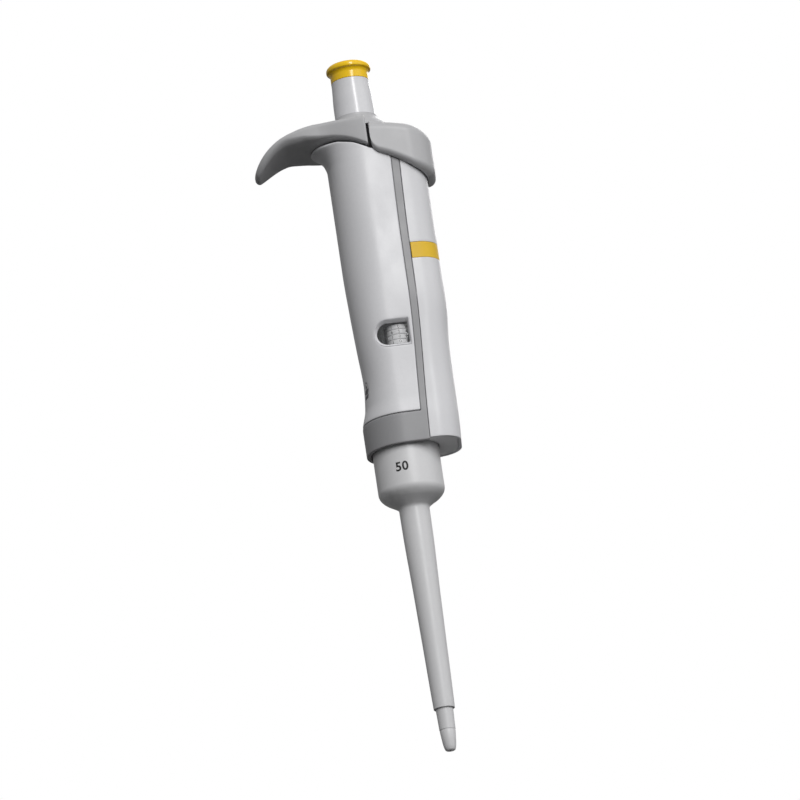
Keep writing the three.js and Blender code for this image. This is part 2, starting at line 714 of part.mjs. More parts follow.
// Side view of the ejector button; cavity leaves its wall and opens downwards.
function buttonOutline(inset) {
  const right = BUTTON_X - inset;
  const top = 213 - inset;
  const low = inset > 0 ? 180 : 0;
  const shape = new THREE.Shape();
  shape.moveTo(inset > 0 ? -5 : SPLIT_X + GAP, low || 203.1);
  shape.lineTo(inset > 0 ? -5 : SPLIT_X + GAP, top);
  shape.lineTo(10, top - 0.2);
  shape.quadraticCurveTo(16.5, top - 0.9, 20.4 - inset, top - 2.6);
  shape.quadraticCurveTo(right, top - 4, right, top - 7.2);
  if (inset > 0) {
    shape.lineTo(right, low);
  } else {
    shape.lineTo(right, 192.6);
    shape.quadraticCurveTo(right, 190.4, 21.4, 190.4);
    shape.quadraticCurveTo(20, 194.6, 14, 198.6);
    shape.quadraticCurveTo(9.5, 201, SPLIT_X + GAP, 203.1);
  }
  shape.closePath();
  return sideOutline(shape, 20, 5);
}

function ejectorButton() {
  const plan = (inset, z0, z1) => {
    const outline = handleSection(15, BUTTON_HALF_DEPTH, BUTTON_X, 12.6, inset);
    return loft([{ z: z0, outline }, { z: z1, outline }]);
  };
  const outer = buttonOutline(0).intersect(plan(0, 185, 216));
  const cavity = buttonOutline(BUTTON_WALL).intersect(plan(BUTTON_WALL, 175, 216));
  return outer.subtract(cavity).subtract(rod(BOSS_R + 0.4, 180, 220, ROUND));
}
addPiece('ejector_button', ejectorButton(), lightGreyPlastic());

export default model;
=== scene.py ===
import json
import math

import bmesh
import bpy
import numpy as np
from mathutils import Matrix, Vector, geometry

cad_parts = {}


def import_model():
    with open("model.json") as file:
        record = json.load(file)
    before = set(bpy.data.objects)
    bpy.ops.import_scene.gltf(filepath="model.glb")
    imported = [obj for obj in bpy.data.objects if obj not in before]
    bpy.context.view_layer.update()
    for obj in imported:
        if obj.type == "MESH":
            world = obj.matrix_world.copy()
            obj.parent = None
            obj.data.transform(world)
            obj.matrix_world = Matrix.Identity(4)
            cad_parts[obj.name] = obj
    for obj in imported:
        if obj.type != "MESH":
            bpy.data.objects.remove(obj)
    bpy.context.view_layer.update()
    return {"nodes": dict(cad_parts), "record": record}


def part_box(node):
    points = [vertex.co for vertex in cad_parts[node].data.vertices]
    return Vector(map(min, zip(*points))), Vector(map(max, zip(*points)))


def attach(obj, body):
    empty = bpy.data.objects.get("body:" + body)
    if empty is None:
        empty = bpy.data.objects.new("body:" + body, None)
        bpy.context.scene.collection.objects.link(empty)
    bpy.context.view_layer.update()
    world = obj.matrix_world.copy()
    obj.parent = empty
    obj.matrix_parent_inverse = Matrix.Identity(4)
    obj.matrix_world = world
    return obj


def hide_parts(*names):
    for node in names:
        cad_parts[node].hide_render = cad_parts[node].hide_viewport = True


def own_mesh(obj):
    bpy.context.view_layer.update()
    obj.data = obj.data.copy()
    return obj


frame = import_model()

MM = 0.001
cone_low, cone_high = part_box("tip_cone")
SHIFT = np.array([(cone_low.x + cone_high.x) / 2, 0.0, cone_low.z])


def height(z):
    """A height above the cone's end, in millimetres, as metres in the row frame."""
    return SHIFT[2] + z * MM


# ---- materials
def set_range(node, *numbers):
    for socket, number in zip(("From Min", "From Max", "To Min", "To Max"), numbers):
        node.inputs[socket].default_value = number


class Nodes:
    """A material's node tree, with short calls to add and link nodes."""

    def __init__(self, name):
        self.material = bpy.data.materials.new(name)
        self.material.use_nodes = True
        self.tree = self.material.node_tree
        self.tree.nodes.clear()
        self.shader = self.add("ShaderNodeBsdfPrincipled")
        output = self.add("ShaderNodeOutputMaterial")
        self.link(self.shader.outputs[0], output.inputs["Surface"])
        self.place = self.add("ShaderNodeTexCoord").outputs["Object"]

    def add(self, kind, **settings):
        node = self.tree.nodes.new(kind)
        for key, value in settings.items():
            setattr(node, key, value)
        return node

    def link(self, a, b):
        self.tree.links.new(a, b)

    def noise(self, per_metre, detail=3.0, stretch=(1, 1, 1), roughness=0.55):
        mapping = self.add("ShaderNodeMapping")
        mapping.inputs["Scale"].default_value = stretch
        self.link(self.place, mapping.inputs["Vector"])
        node = self.add("ShaderNodeTexNoise")
        node.inputs["Scale"].default_value = per_metre
        node.inputs["Detail"].default_value = detail
        node.inputs["Roughness"].default_value = roughness
        self.link(mapping.outputs[0], node.inputs["Vector"])
        return node.outputs["Fac"]

    def ranged(self, value, low, high, to_low, to_high):
        node = self.add("ShaderNodeMapRange")
        node.clamp = True
        set_range(node, low, high, to_low, to_high)
        self.link(value, node.inputs["Value"])
        return node.outputs[0]

    def product(self, a, b):
        node = self.add("ShaderNodeMath", operation="MULTIPLY")
        self.link(a, node.inputs[0])
        self.link(b, node.inputs[1])
        return node.outputs[0]

    def mixed(self, share, first, second):
        node = self.add("ShaderNodeMix", data_type="RGBA")
        self.link(share, node.inputs["Factor"])
        for socket, value in ((node.inputs[6], first), (node.inputs[7], second)):
            if isinstance(value, tuple):
                socket.default_value = (*value, 1)
            else:
                self.link(value, socket)
        return node.outputs[2]

    def bump(self, heights):
        """heights: (value, distance in metres) pairs, the coarsest first."""
        before = None
        for value, distance in heights:
            node = self.add("ShaderNodeBump")
            node.inputs["Strength"].default_value = 1.0
            node.inputs["Distance"].default_value = distance
            self.link(value, node.inputs["Height"])
            if before is not None:
                self.link(before, node.inputs["Normal"])
            before = node.outputs[0]
        self.link(before, self.shader.inputs["Normal"])


def shade(color, factor):
    return tuple(min(1.0, c * factor) for c in color)


def plastic(name, color, roughness, grain=0.000012, worn=None, gloss_spread=0.06, specular=0.5):
    """Moulded plastic: fine grain, faint flow marks, uneven gloss, and edges that are rubbed."""
    n = Nodes(name)
    flow = n.ranged(n.noise(55, 2.0, (1, 1, 0.35)), 0.35, 0.65, 0, 1)
    speck = n.ranged(n.noise(900, 4.0), 0.35, 0.65, 0, 1)
    base = n.mixed(flow, shade(color, 0.965), shade(color, 1.02))
    base = n.mixed(n.ranged(speck, 0, 1, 0.0, 0.35), base, shade(color, 0.94))
    edge = n.ranged(n.add("ShaderNodeNewGeometry").outputs["Pointiness"], 0.515, 0.60, 0, 0.55)
    rubbed = n.product(edge, n.ranged(n.noise(420, 3.0), 0.4, 0.62, 0, 1))
    base = n.mixed(rubbed, base, worn or shade(color, 1.15))
    n.link(base, n.shader.inputs["Base Color"])
    smudge = n.noise(130, 4.0, (1, 1, 0.6))
    n.link(
        n.ranged(smudge, 0.3, 0.7, roughness - gloss_spread, roughness + gloss_spread),
        n.shader.inputs["Roughness"],
    )
    n.shader.inputs["Specular IOR Level"].default_value = specular
    n.bump([(n.noise(60, 1.0), 0.00006), (n.noise(2600, 2.0), grain)])
    return n.material


def steel(name):
    """Ground steel: fine marks round the piece and a few duller patches."""
    n = Nodes(name)
    marks = n.noise(500, 4.0, (0.25, 0.25, 9))
    base = n.mixed(n.ranged(marks, 0.3, 0.7, 0, 1), (0.50, 0.51, 0.52), (0.66, 0.67, 0.68))
    n.link(base, n.shader.inputs["Base Color"])
    n.link(n.ranged(n.noise(240, 3.0), 0.3, 0.7, 0.2, 0.36), n.shader.inputs["Roughness"])
    n.shader.inputs["Metallic"].default_value = 1.0
    n.bump([(marks, 0.000006)])
    return n.material


def clear(name):
    """Thin clear window plastic with hairline scratches, mostly see-through."""
    n = Nodes(name)
    scratches = n.noise(900, 2.0, (0.15, 1, 5))
    n.link(n.mixed(scratches, (0.30, 0.31, 0.32), (0.40, 0.41, 0.42)), n.shader.inputs["Base Color"])
    n.link(n.ranged(scratches, 0.4, 0.75, 0.06, 0.14), n.shader.inputs["Alpha"])
    n.link(n.ranged(scratches, 0.4, 0.75, 0.02, 0.14), n.shader.inputs["Roughness"])
    n.bump([(scratches, 0.000002)])
    return n.material


def rubber(name):
    n = Nodes(name)
    dust = n.ranged(n.noise(700, 5.0), 0.45, 0.7, 0, 0.5)
    n.link(n.mixed(dust, (0.02, 0.02, 0.02), (0.07, 0.07, 0.07)), n.shader.inputs["Base Color"])
    n.link(n.ranged(n.noise(300), 0.3, 0.7, 0.6, 0.85), n.shader.inputs["Roughness"])
    n.bump([(n.noise(2400, 2.0), 0.00002)])
    return n.material


MATERIAL = {
    "white_plastic": plastic("moulded_white", (0.74, 0.74, 0.76), 0.40),
    "gloss_white_plastic": plastic("polished_white", (0.72, 0.72, 0.74), 0.25, 0.000003, gloss_spread=0.03),
    "grey_plastic": plastic("moulded_grey", (0.33, 0.33, 0.34), 0.46),
    "light_grey_plastic": plastic("moulded_light_grey", (0.50, 0.50, 0.51), 0.42),
    "dark_plastic": plastic("moulded_dark", (0.10, 0.10, 0.11), 0.52, worn=(0.2, 0.2, 0.2)),
    "black_plastic": plastic("flat_black", (0.012, 0.012, 0.012), 0.6, worn=(0.03, 0.03, 0.03)),
    "yellow_plastic": plastic("polished_yellow", (1.0, 0.62, 0.010), 0.24, 0.000003, (1.0, 0.72, 0.12), 0.04),
    "steel": steel("ground_steel"),
    "clear_plastic": clear("clear_window"),
    "seal_rubber": rubber("black_rubber"),
}
SLEEVE_LOOK = plastic("moulded_sleeve", (0.74, 0.74, 0.75), 0.38)
CONE_LOOK = plastic("moulded_cone", (0.74, 0.74, 0.75), 0.36)
BRIDGE_LOOK = plastic("moulded_bridge", (0.84, 0.84, 0.85), 0.5)
# A lighter copy of the grey plastic for the head, hook and neck: painted light, standing in for the light
# that falls on them.
HEAD_PAINTED_LIGHT_LOOK = plastic("grey_head_painted_light", (0.47, 0.47, 0.48), 0.44)
BAND_LOOK = plastic("moulded_yellow", (0.86, 0.55, 0.04), 0.5, worn=(0.9, 0.66, 0.14), specular=0.3)
# The wheels' white is raised above the gloss white: painted light, brightening the wheels against the shade
# inside the window.
WHEEL_PAINTED_LIGHT_LOOK = plastic("wheel_painted_light", (0.93, 0.93, 0.94), 0.3, 0.000003, gloss_spread=0.03)

for part in frame["record"]["subparts"]:
    for place in frame["nodes"][part["node"]].material_slots:
        place.material = MATERIAL[part["material_slot"]]


# ---- making meshes
def make(name, points, faces, body, slot, stands_for=(), look=None):
    """A mesh from points in millimetres, riding on a body and standing for CAD nodes."""
    mesh = bpy.data.meshes.new(name)
    mesh.from_pydata((np.asarray(points, float) * MM + SHIFT).tolist(), [], faces)
    work = bmesh.new()
    work.from_mesh(mesh)
    bmesh.ops.remove_doubles(work, verts=work.verts, dist=1e-7)
    bmesh.ops.recalc_face_normals(work, faces=work.faces)
    work.to_mesh(mesh)
    work.free()
    obj = bpy.data.objects.new(name, mesh)
    bpy.context.scene.collection.objects.link(obj)
    mesh.materials.append(look or MATERIAL[slot])
    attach(obj, body)
    if stands_for:
        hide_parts(*stands_for)
    return obj


def grid_faces(rows, columns, closed=False):
    """Four-sided faces between rows of points, with each row a ring if closed."""
    faces = []
    for low in range(0, (rows - 1) * columns, columns):
        for c in range(columns if closed else columns - 1):
            after = (c + 1) % columns
            faces.append((low + c, low + after, low + columns + after, low + columns + c))
    return faces


def grid_edge(rows, columns):
    """The points round the edge of a grid, in order."""
    edge = list(range(columns))
    edge += [columns * r + columns - 1 for r in range(1, rows)]
    edge += [columns * (rows - 1) + c for c in range(columns - 2, -1, -1)]
    edge += [columns * r for r in range(rows - 2, 0, -1)]
    return edge


def disc_faces(rings, count):
    """Faces of a disc with a front and a back, each with rings of points and then a middle one."""
    faces = []
    back = rings * count + 1
    for first in (0, back):
        for ring in range(first, first + (rings - 1) * count, count):
            for i in range(count):
                a, b = ring + i, ring + (i + 1) % count
                faces.append((a, b, b + count, a + count))
        ring, middle = first + (rings - 1) * count, first + rings * count
        faces += [(ring + i, ring + (i + 1) % count, middle) for i in range(count)]
    faces += [(i, (i + 1) % count, back + (i + 1) % count, back + i) for i in range(count)]
    return faces


def prism(line, z0, z1):
    """Points and faces of an upright piece with this outline in plan."""
    n = len(line)
    points = [(x, y, z) for z in (z0, z1) for x, y in line]
    return points, grid_faces(2, n, closed=True) + [tuple(range(n))[::-1], tuple(range(n, 2 * n))]


def slab(inner, outer, z0, z1, closed):
    """Points and faces of a flat piece between two lines in plan, with ends unless closed."""
    points = []
    for line, z in ((inner, z0), (outer, z0), (outer, z1), (inner, z1)):
        points += [(x, y, z) for x, y in line]
    n = len(inner)
    faces = grid_faces(4, n, closed)
    faces += [(3 * n + i, 3 * n + (i + 1) % n, (i + 1) % n, i) for i in range(n if closed else n - 1)]
    if not closed:
        faces += [(0, n, 2 * n, 3 * n), (n - 1, 4 * n - 1, 3 * n - 1, 2 * n - 1)]
    return points, faces


def round_edges(obj, width, segments=3, angle=38):
    modifier = obj.modifiers.new("edges", "BEVEL")
    modifier.width = width * MM
    modifier.segments = segments
    modifier.limit_method = "ANGLE"
    modifier.angle_limit = math.radians(angle)
    modifier.miter_outer = "MITER_ARC"


def cut(obj, tool, operation="DIFFERENCE"):
    modifier = obj.modifiers.new("cut", "BOOLEAN")
    modifier.object = tool
    modifier.operation = operation
    modifier.solver = "EXACT"


def settle(obj, sharp=42, tools=()):
    """Applies the modifiers, shades smooth and removes the cutting tools."""
    bpy.context.view_layer.update()
    final = bpy.data.meshes.new_from_object(obj.evaluated_get(bpy.context.evaluated_depsgraph_get()))
    obj.modifiers.clear()
    obj.data = final
    final.shade_smooth()
    final.set_sharp_from_angle(angle=math.radians(sharp))
    for tool in tools:
        bpy.data.objects.remove(tool)
    return obj


def turned(name, profile, body, slot, stands_for=(), sides=128, centre=(0, 0), look=None):
    """A turned piece: a closed line of (radius, height) points round the Z axis."""
    angles = np.arange(sides) * 2 * math.pi / sides
    points, faces, rings = [], [], []
    for r, z in profile:
        if r < 1e-6:
            rings.append([len(points)] * sides)
            points.append((centre[0], centre[1], z))
        else:
            rings.append(list(range(len(points), len(points) + sides)))
            points += [(centre[0] + r * math.cos(t), centre[1] + r * math.sin(t), z) for t in angles]
    for i in range(len(rings)):
        low, high = rings[i], rings[(i + 1) % len(rings)]
        if low[0] == low[1] and high[0] == high[1]:
            continue
        for k in range(sides):
            face = [low[k], low[(k + 1) % sides], high[(k + 1) % sides], high[k]]
            faces.append(tuple(dict.fromkeys(face)))
    return make(name, points, faces, body, slot, stands_for, look)


def filleted(corners, closed=True, steps=6):
    """A line through (a, b, radius) corners, each rounded by that much."""
    line = []
    count = len(corners)
    for i, (a, b, radius) in enumerate(corners):
        here = np.array([a, b], float)
        if radius <= 0 or (not closed and i in (0, count - 1)):
            line.append(tuple(here))
            continue
        before = np.array(corners[i - 1][:2], float) - here
        after = np.array(corners[(i + 1) % count][:2], float) - here
        room = min(radius, 0.48 * np.linalg.norm(before), 0.48 * np.linalg.norm(after))
        start = here + before / np.linalg.norm(before) * room
        end = here + after / np.linalg.norm(after) * room
        for k in range(steps + 1):
            t = k / steps
            line.append(tuple((1 - t) ** 2 * start + 2 * t * (1 - t) * here + t * t * end))
    return line


# ---- the handle's form
# Each row: height, left radius, half depth at the axis, then the rail's reach to the right and half depth.
FORM = np.array([
    (101, 12.8, 12.8, 18.4, 12.0),
    (110, 12.8, 12.8, 18.9, 11.9),
    (117, 11.1, 12.2, 19.0, 11.5),
    (126, 10.4, 12.0, 19.1, 11.2),
    (137, 10.95, 12.2, 19.4, 11.2),
    (150, 11.5, 12.4, 20.4, 11.2),
    (165, 11.9, 12.6, 20.4, 10.5),
    (200, 11.9, 12.6, 20.4, 10.5),
    (203, 12.6, 12.6, 20.4, 10.5),
    (205.5, 14.3, 12.7, 20.4, 10.5),
    (207.2, 16.9, 12.8, 20.4, 10.5),
])
COLLAR_BOTTOM, SHELL_BOTTOM, BODY_TOP, FORM_TOP = 101, 111.3, 203, 207.2
WALL, CORNER_R, GAP, RUNNING = 1.4, 8.0, 0.3, 0.15


def smooth_line(xs, ys, x):
    """A smooth curve through points that never swings past them."""
    xs, ys = np.asarray(xs, float), np.asarray(ys, float)
    step = np.diff(xs)
    slope = np.diff(ys) / step
    tangent = np.zeros(len(xs))
    tangent[0], tangent[-1] = slope[0], slope[-1]
    for i in range(1, len(xs) - 1):
        if slope[i - 1] * slope[i] > 0:
            tangent[i] = 2 * slope[i - 1] * slope[i] / (slope[i - 1] + slope[i])
    x = np.clip(x, xs[0], xs[-1])
    i = np.clip(np.searchsorted(xs, x) - 1, 0, len(xs) - 2)
    t = (x - xs[i]) / step[i]
    return (
        (2 * t**3 - 3 * t**2 + 1) * ys[i]
        + (t**3 - 2 * t**2 + t) * step[i] * tangent[i]
        + (3 * t**2 - 2 * t**3) * ys[i + 1]
        + (t**3 - t**2) * step[i] * tangent[i + 1]
    )


def half_outline(left, depth, reach, rail, inset=0.0, corner=CORNER_R):
    """Half a section, from its left end to the middle of its right face, and the length along it."""
    a, b = left - inset, depth - inset
    c = max(corner - inset, 0.5)
    cx, cy = reach - inset - c, rail - inset - c
    low, high = 0.0, math.pi / 2
    for _ in range(40):
        t = (low + high) / 2
        if cx * math.cos(t) + cy * math.sin(t) + c > math.hypot(a * math.cos(t), b * math.sin(t)):
            low = t
        else:
            high = t
    t = np.linspace(math.pi, low, 90)
    size = np.hypot(a * np.cos(t), b * np.sin(t))
    oval = np.column_stack((a * a * np.cos(t) / size, b * b * np.sin(t) / size))
    t = np.linspace(low, 0, 24)
    bend = np.column_stack((cx + c * np.cos(t), cy + c * np.sin(t)))
    points = np.vstack((oval, bend, [(cx + c, 0)]))
    length = np.concatenate(([0], np.cumsum(np.linalg.norm(np.diff(points, axis=0), axis=1))))
    return points, length


def outline(z, inset=0.0):
    return half_outline(*(smooth_line(FORM[:, 0], FORM[:, k], z) for k in (1, 2, 3, 4)), inset)


def along(points, length, s):
    """Points at signed lengths from the left end: behind the axis if positive, in front if negative."""
    whole = length[-1]
    s = (np.asarray(s, float) + whole) % (2 * whole) - whole
    x = np.interp(np.abs(s), length, points[:, 0])
    y = np.interp(np.abs(s), length, points[:, 1])
    return np.column_stack((x, np.where(s < 0, -y, y)))


def length_to(points, length, x):
    return np.interp(x, points[:, 0], length)


def strip_bow(z):
    """How far the strip beside the rail bows to the right at this height."""
    return 0.12 + 0.8 * np.exp(-(((z - 146) / 24) ** 2))


def strip_left(z):
    return 6.7 + 0.0325 * (z - 112) + strip_bow(z)


def strip_right(z):
    return 8.8 + 0.0386 * (z - 112) + strip_bow(z)


def front(x, z, inset=0.0):
    """The point of the handle's front surface at this x and height."""
    points, _ = outline(z, inset)
    return (x, -np.interp(x, points[:, 0], points[:, 1]), z)


def skin(rows, spans):
    """Points of a part of the handle's surface.

    rows: (height, inset) pairs. spans(z, points, length): the signed lengths of a row's points.
    """
    out = []
    for z, inset in rows:
        points, length = outline(z, inset)
        flat = along(points, length, spans(z, points, length))
        out += [(x, y, z) for x, y in flat]
    return out


def spread(start, end, step):
    return np.linspace(start, end, max(2, int(round(abs(end - start) / step)) + 1))


def sheet(obj, wall, edge, segments=3, even=True):
    """Thickens an open surface round the axis towards the axis, and rounds its edges."""
    mesh = obj.data
    total = 0.0
    for face in mesh.polygons:
        away = Vector((face.center.x - SHIFT[0], face.center.y, 0))
        total += away.dot(face.normal) * face.area
    if total < 0:
        mesh.flip_normals()
    modifier = obj.modifiers.new("wall", "SOLIDIFY")
    modifier.thickness = wall * MM
    modifier.offset = -1
    modifier.use_even_offset = even
    round_edges(obj, edge, segments, 50)
    settle(obj, 50)


# ---- handle shell with its window
SHOULDER = [(-60, 207.2), (-8, 207.2), (-2, 205.7), (3.5, 203), (60, 203)]
WINDOW = dict(left=-3.6, right=6.75, low=135.0, high=142.4)
RIM = 0.85
SEAL_ANGLE, SEAL_Z = math.radians(207), 122.5
SEAL_HALF_WIDTH, SEAL_HALF_HEIGHT, SEAL_GAP = 1.3, 2.6, 0.12
STRIP_GAP = 0.07


def shoulder(x):
    return np.interp(x, [p[0] for p in SHOULDER], [p[1] for p in SHOULDER])


def window_loop(grow, right, corner, count):
    """The window's D outline as evenly spaced (x, z) points, round on the left and grown on three sides."""
    low, high = WINDOW["low"] - grow, WINDOW["high"] + grow
    radius = (high - low) / 2
    middle = (high + low) / 2
    centre = WINDOW["left"] - grow + radius
    line = [(right - corner, low)]
    for t in np.linspace(-math.pi / 2, -1.5 * math.pi, 40):
        line.append((centre + radius * math.cos(t), middle + radius * math.sin(t)))
    for t in np.linspace(math.pi / 2, 0, 7):
        line.append((right - corner + corner * math.cos(t), high - corner + corner * math.sin(t)))
    for t in np.linspace(0, -math.pi / 2, 7):
        line.append((right - corner + corner * math.cos(t), low + corner + corner * math.sin(t)))
    line = np.array(line)
    length = np.concatenate(([0], np.cumsum(np.linalg.norm(np.diff(line, axis=0), axis=1))))
    at = np.linspace(0, length[-1], count, endpoint=False)
    return np.column_stack((np.interp(at, length, line[:, 0]), np.interp(at, length, line[:, 1])))


def inside(spots, loop):
    """Which of the spots lie inside a closed loop."""
    x, y = np.asarray(spots, float).T
    hit = np.zeros(len(x), bool)
    for (x0, y0), (x1, y1) in zip(loop, np.roll(loop, -1, axis=0)):
        if y0 == y1:
            continue
        crosses = (y0 > y) != (y1 > y)
        hit ^= crosses & (x < (x1 - x0) * (y - y0) / (y1 - y0) + x0)
    return hit


def nearest(spots, loop):
    """Distance from each spot to the nearest point of a loop."""
    return np.min([np.hypot(spots[:, 0] - x, spots[:, 1] - y) for x, y in loop], axis=0)


ROW_STEP, STEPS_ACROSS = 0.3, 240


class ShellMap:
    """The shell unrolled: u from -1 at the front strip to 1 at the back one, and the height."""

    def __init__(self):
        self.u = np.linspace(-1, 1, STEPS_ACROSS + 1)
        self.z = np.arange(SHELL_BOTTOM, FORM_TOP + 0.05, ROW_STEP)
        self.x = np.zeros((len(self.z), len(self.u)))
        self.y = np.zeros_like(self.x)
        self.edge = np.zeros(len(self.z))
        for i, z in enumerate(self.z):
            points, length = outline(z)
            self.edge[i] = length_to(points, length, strip_left(z) - STRIP_GAP)
            flat = along(points, length, self.u * self.edge[i])
            self.x[i], self.y[i] = flat[:, 0], flat[:, 1]
        self.top = [self.top_of(k) for k in range(len(self.u))]

    def top_of(self, k):
        over = shoulder(self.x[:, k]) - self.z
        i = int(np.argmax(over <= 0)) if (over <= 0).any() else len(self.z) - 1
        if over[i] > 0:
            return self.z[i]
        share = over[i - 1] / (over[i - 1] - over[i])
        return self.z[i - 1] + share * (self.z[i] - self.z[i - 1])

    def point(self, u, z):
        row = np.clip((z - self.z[0]) / ROW_STEP, 0, len(self.z) - 1.001)
        column = np.clip((u + 1) * STEPS_ACROSS / 2, 0, STEPS_ACROSS - 0.001)
        i, k = int(row), int(column)
        up, across = row - i, column - k
        out = []
        for table in (self.x, self.y):
            low = table[i, k] * (1 - across) + table[i, k + 1] * across
            high = table[i + 1, k] * (1 - across) + table[i + 1, k + 1] * across
            out.append(low * (1 - up) + high * up)
        return (*out, z)

    def u_of(self, x, z):
        """The place on the front of the shell with this x."""
        points, length = outline(z)
        edge = np.interp(z, self.z, self.edge)
        return -length_to(points, length, x) / edge


def seal_middle():
    """The signed length round the handle to the middle of the plug."""
    points, length = outline(SEAL_Z)
    ray = np.arctan2(points[:, 1], points[:, 0])
    return -np.interp(2 * math.pi - SEAL_ANGLE, ray[::-1], length[::-1])


def shell_holes(m):
    """The window's notch and the plug's hole, as loops of (u, z)."""
    notch = window_loop(RIM + 0.03, WINDOW["right"] + 0.5, 0.3, 150)
    notch = [(m.u_of(min(x, strip_left(z)), z), z) for x, z in notch]
    edge = np.interp(SEAL_Z, m.z, m.edge)
    middle = seal_middle() / edge
    oval = []
    for t in np.linspace(0, 2 * math.pi, 40, endpoint=False):
        across = (SEAL_HALF_WIDTH + SEAL_GAP) * math.cos(t)
        up = (SEAL_HALF_HEIGHT + SEAL_GAP) * math.sin(t)
        oval.append((middle + across / edge, SEAL_Z + up))
    return notch, oval


def shell_rim(m, us, tops, rows):
    rim = [(u, m.z[0]) for u in us]
    rim += [(1, z) for z in np.linspace(m.z[0], tops[-1], rows)[1:]]
    rim += list(zip(us[::-1], tops[::-1]))[1:]
    rim += [(-1, z) for z in np.linspace(tops[0], m.z[0], rows)[1:-1]]
    return rim


FLAT_WIDTH = 30.0


def handle_shell():
    """The shell, meshed flat with its two holes and then rolled up."""
    m = ShellMap()
    columns, rows = 113, 134
    us = np.linspace(-1, 1, columns)
    tops = np.interp(us, m.u, m.top)
    notch, oval = shell_holes(m)
    verts, edges = [], []
    for loop in (shell_rim(m, us, tops, rows), notch, oval):
        first, count = len(verts), len(loop)
        verts.extend((u * FLAT_WIDTH, z) for u, z in loop)
        edges.extend((first + i, first + (i + 1) % count) for i in range(count))
    holes = [np.array([(u * FLAT_WIDTH, z) for u, z in loop]) for loop in (notch, oval)]
    spots = np.array([
        (u * FLAT_WIDTH, z)
        for u, top in zip(us[1:-1], tops[1:-1])
        for z in np.linspace(m.z[0], top, rows)[1:-1]
    ])
    for hole in holes:
        spots = spots[(nearest(spots, hole) > 0.5) & ~inside(spots, hole)]
    verts.extend(map(tuple, spots))
    flat, _, tris, *_ = geometry.delaunay_2d_cdt([Vector(v) for v in verts], edges, [], 0, 1e-6)
    places = np.array([v[:] for v in flat])
    tris = np.array([tuple(t) for t in tris])
    centres = places[tris].mean(axis=1)
    good = centres[:, 1] < np.interp(centres[:, 0] / FLAT_WIDTH, us, tops) - 1e-4
    for hole in holes:
        good &= ~inside(centres, hole)
    kept = [tuple(map(int, t)) for t in tris[good]]
    rolled = [m.point(v[0] / FLAT_WIDTH, v[1]) for v in flat]
    sheet(make("handle_shell_skin", rolled, kept, "handle", "white_plastic", ["handle_shell"]), WALL, 0.28)


handle_shell()


# ---- window, lens and seal
def window_frame():
    """The sloping rim round the display, set into the shell."""
    count = 120
    right, corner, depth = WINDOW["right"], 0.5, 1.9
    outer = window_loop(RIM, 7.2, 0.3, count)
    inner = window_loop(0, right, corner, count)
    lip = window_loop(0.12, right + 0.06, corner, count)
    brink = outer * 0.97 + lip * 0.03
    loops = [(outer, -0.015), (brink, -0.03), (lip, 0.82), (inner, 1.0), (inner, depth), (outer, depth)]
    points = [front(x, z, inset) for loop, inset in loops for x, z in loop]
    faces = grid_faces(len(loops), count, closed=True)
    last = (len(loops) - 1) * count
    faces += [(last + i, last + (i + 1) % count, (i + 1) % count, i) for i in range(count)]
    settle(make("display_rim", points, faces, "handle", "white_plastic"), 25)


def lens():
    """The clear window: a slightly domed pane just inside the rim."""
    count, rings = 120, 10
    loop = window_loop(-0.03, WINDOW["right"] - 0.03, 0.5, count)
    centre = np.array([(WINDOW["left"] + WINDOW["right"]) / 2, (WINDOW["low"] + WINDOW["high"]) / 2])
    points = []
    for base, rise in ((0.85, 0.12), (1.45, 0.0)):
        for k in range(rings):
            share = 1 - k / rings
            dome = rise * (1 - share * share)
            points += [front(*(centre + (spot - centre) * share), base - dome) for spot in loop]
        points.append(front(*centre, base - rise))
    faces = disc_faces(rings, count)
    settle(make("display_window", points, faces, "handle", "clear_plastic", ["display_lens"]), 30)


def plug_dip(z, s, share):
    """How far the plug's face lies below the shell: a rounded rim and two pressed marks."""
    dip = 0.12 * share**8
    for mark in (-1.0, 0.85):
        if abs(z - SEAL_Z - mark) < 0.5 and abs(s) < 0.75:
            dip += 0.3
    return dip


def adjustment_plug():
    """Oval plug over the adjusting screw."""
    middle = seal_middle()
    rings, count = 8, 48
    points = []
    for depth in (0.0, 1.4):
        for k in range(rings):
            share = 1 - k / rings
            for t in np.linspace(0, 2 * math.pi, count, endpoint=False):
                z = SEAL_Z + SEAL_HALF_HEIGHT * share * math.sin(t)
                s = middle + SEAL_HALF_WIDTH * share * math.cos(t)
                inset = depth if depth else plug_dip(z, s - middle, share)
                points.append((*along(*outline(z, inset), [s])[0], z))
        points.append((*along(*outline(SEAL_Z, depth), [middle])[0], SEAL_Z))
    faces = disc_faces(rings, count)
    settle(make("adjustment_plug", points, faces, "handle", "light_grey_plastic", ["adjustment_seal"]), 40)


def adjustment_marks():
    """Two short slanted marks printed over the plug."""
    middle = seal_middle()
    rows, columns, tall, slant = 5, 7, 1.2, 0.6
    layer = rows * columns
    edge = grid_edge(rows, columns)
    points, faces = [], []
    for low in (SEAL_Z - 2.8, SEAL_Z - 0.8):
        first = len(points)
        for inset in (-0.03, 0.06):
            for v in np.linspace(0, 1, rows):
                z = low + tall * v
                s = middle + np.linspace(-1.0, 1.6, columns) - slant * v
                points += [(x, y, z) for x, y in along(*outline(z, inset), s)]
        face = grid_faces(rows, columns)
        faces += [tuple(first + i for i in f) for f in face]
        faces += [tuple(first + layer + i for i in f)[::-1] for f in face]
        for a, b in zip(edge, edge[1:] + edge[:1]):
            faces.append((first + a, first + layer + a, first + layer + b, first + b))
    settle(make("adjustment_marks", points, faces, "handle", "dark_plastic"), 30)


window_frame()
lens()
adjustment_plug()
adjustment_marks()


# ---- grey frame
COLLAR_TOP = SHELL_BOTTOM - GAP
DECK_INSET = WALL + GAP - 0.1
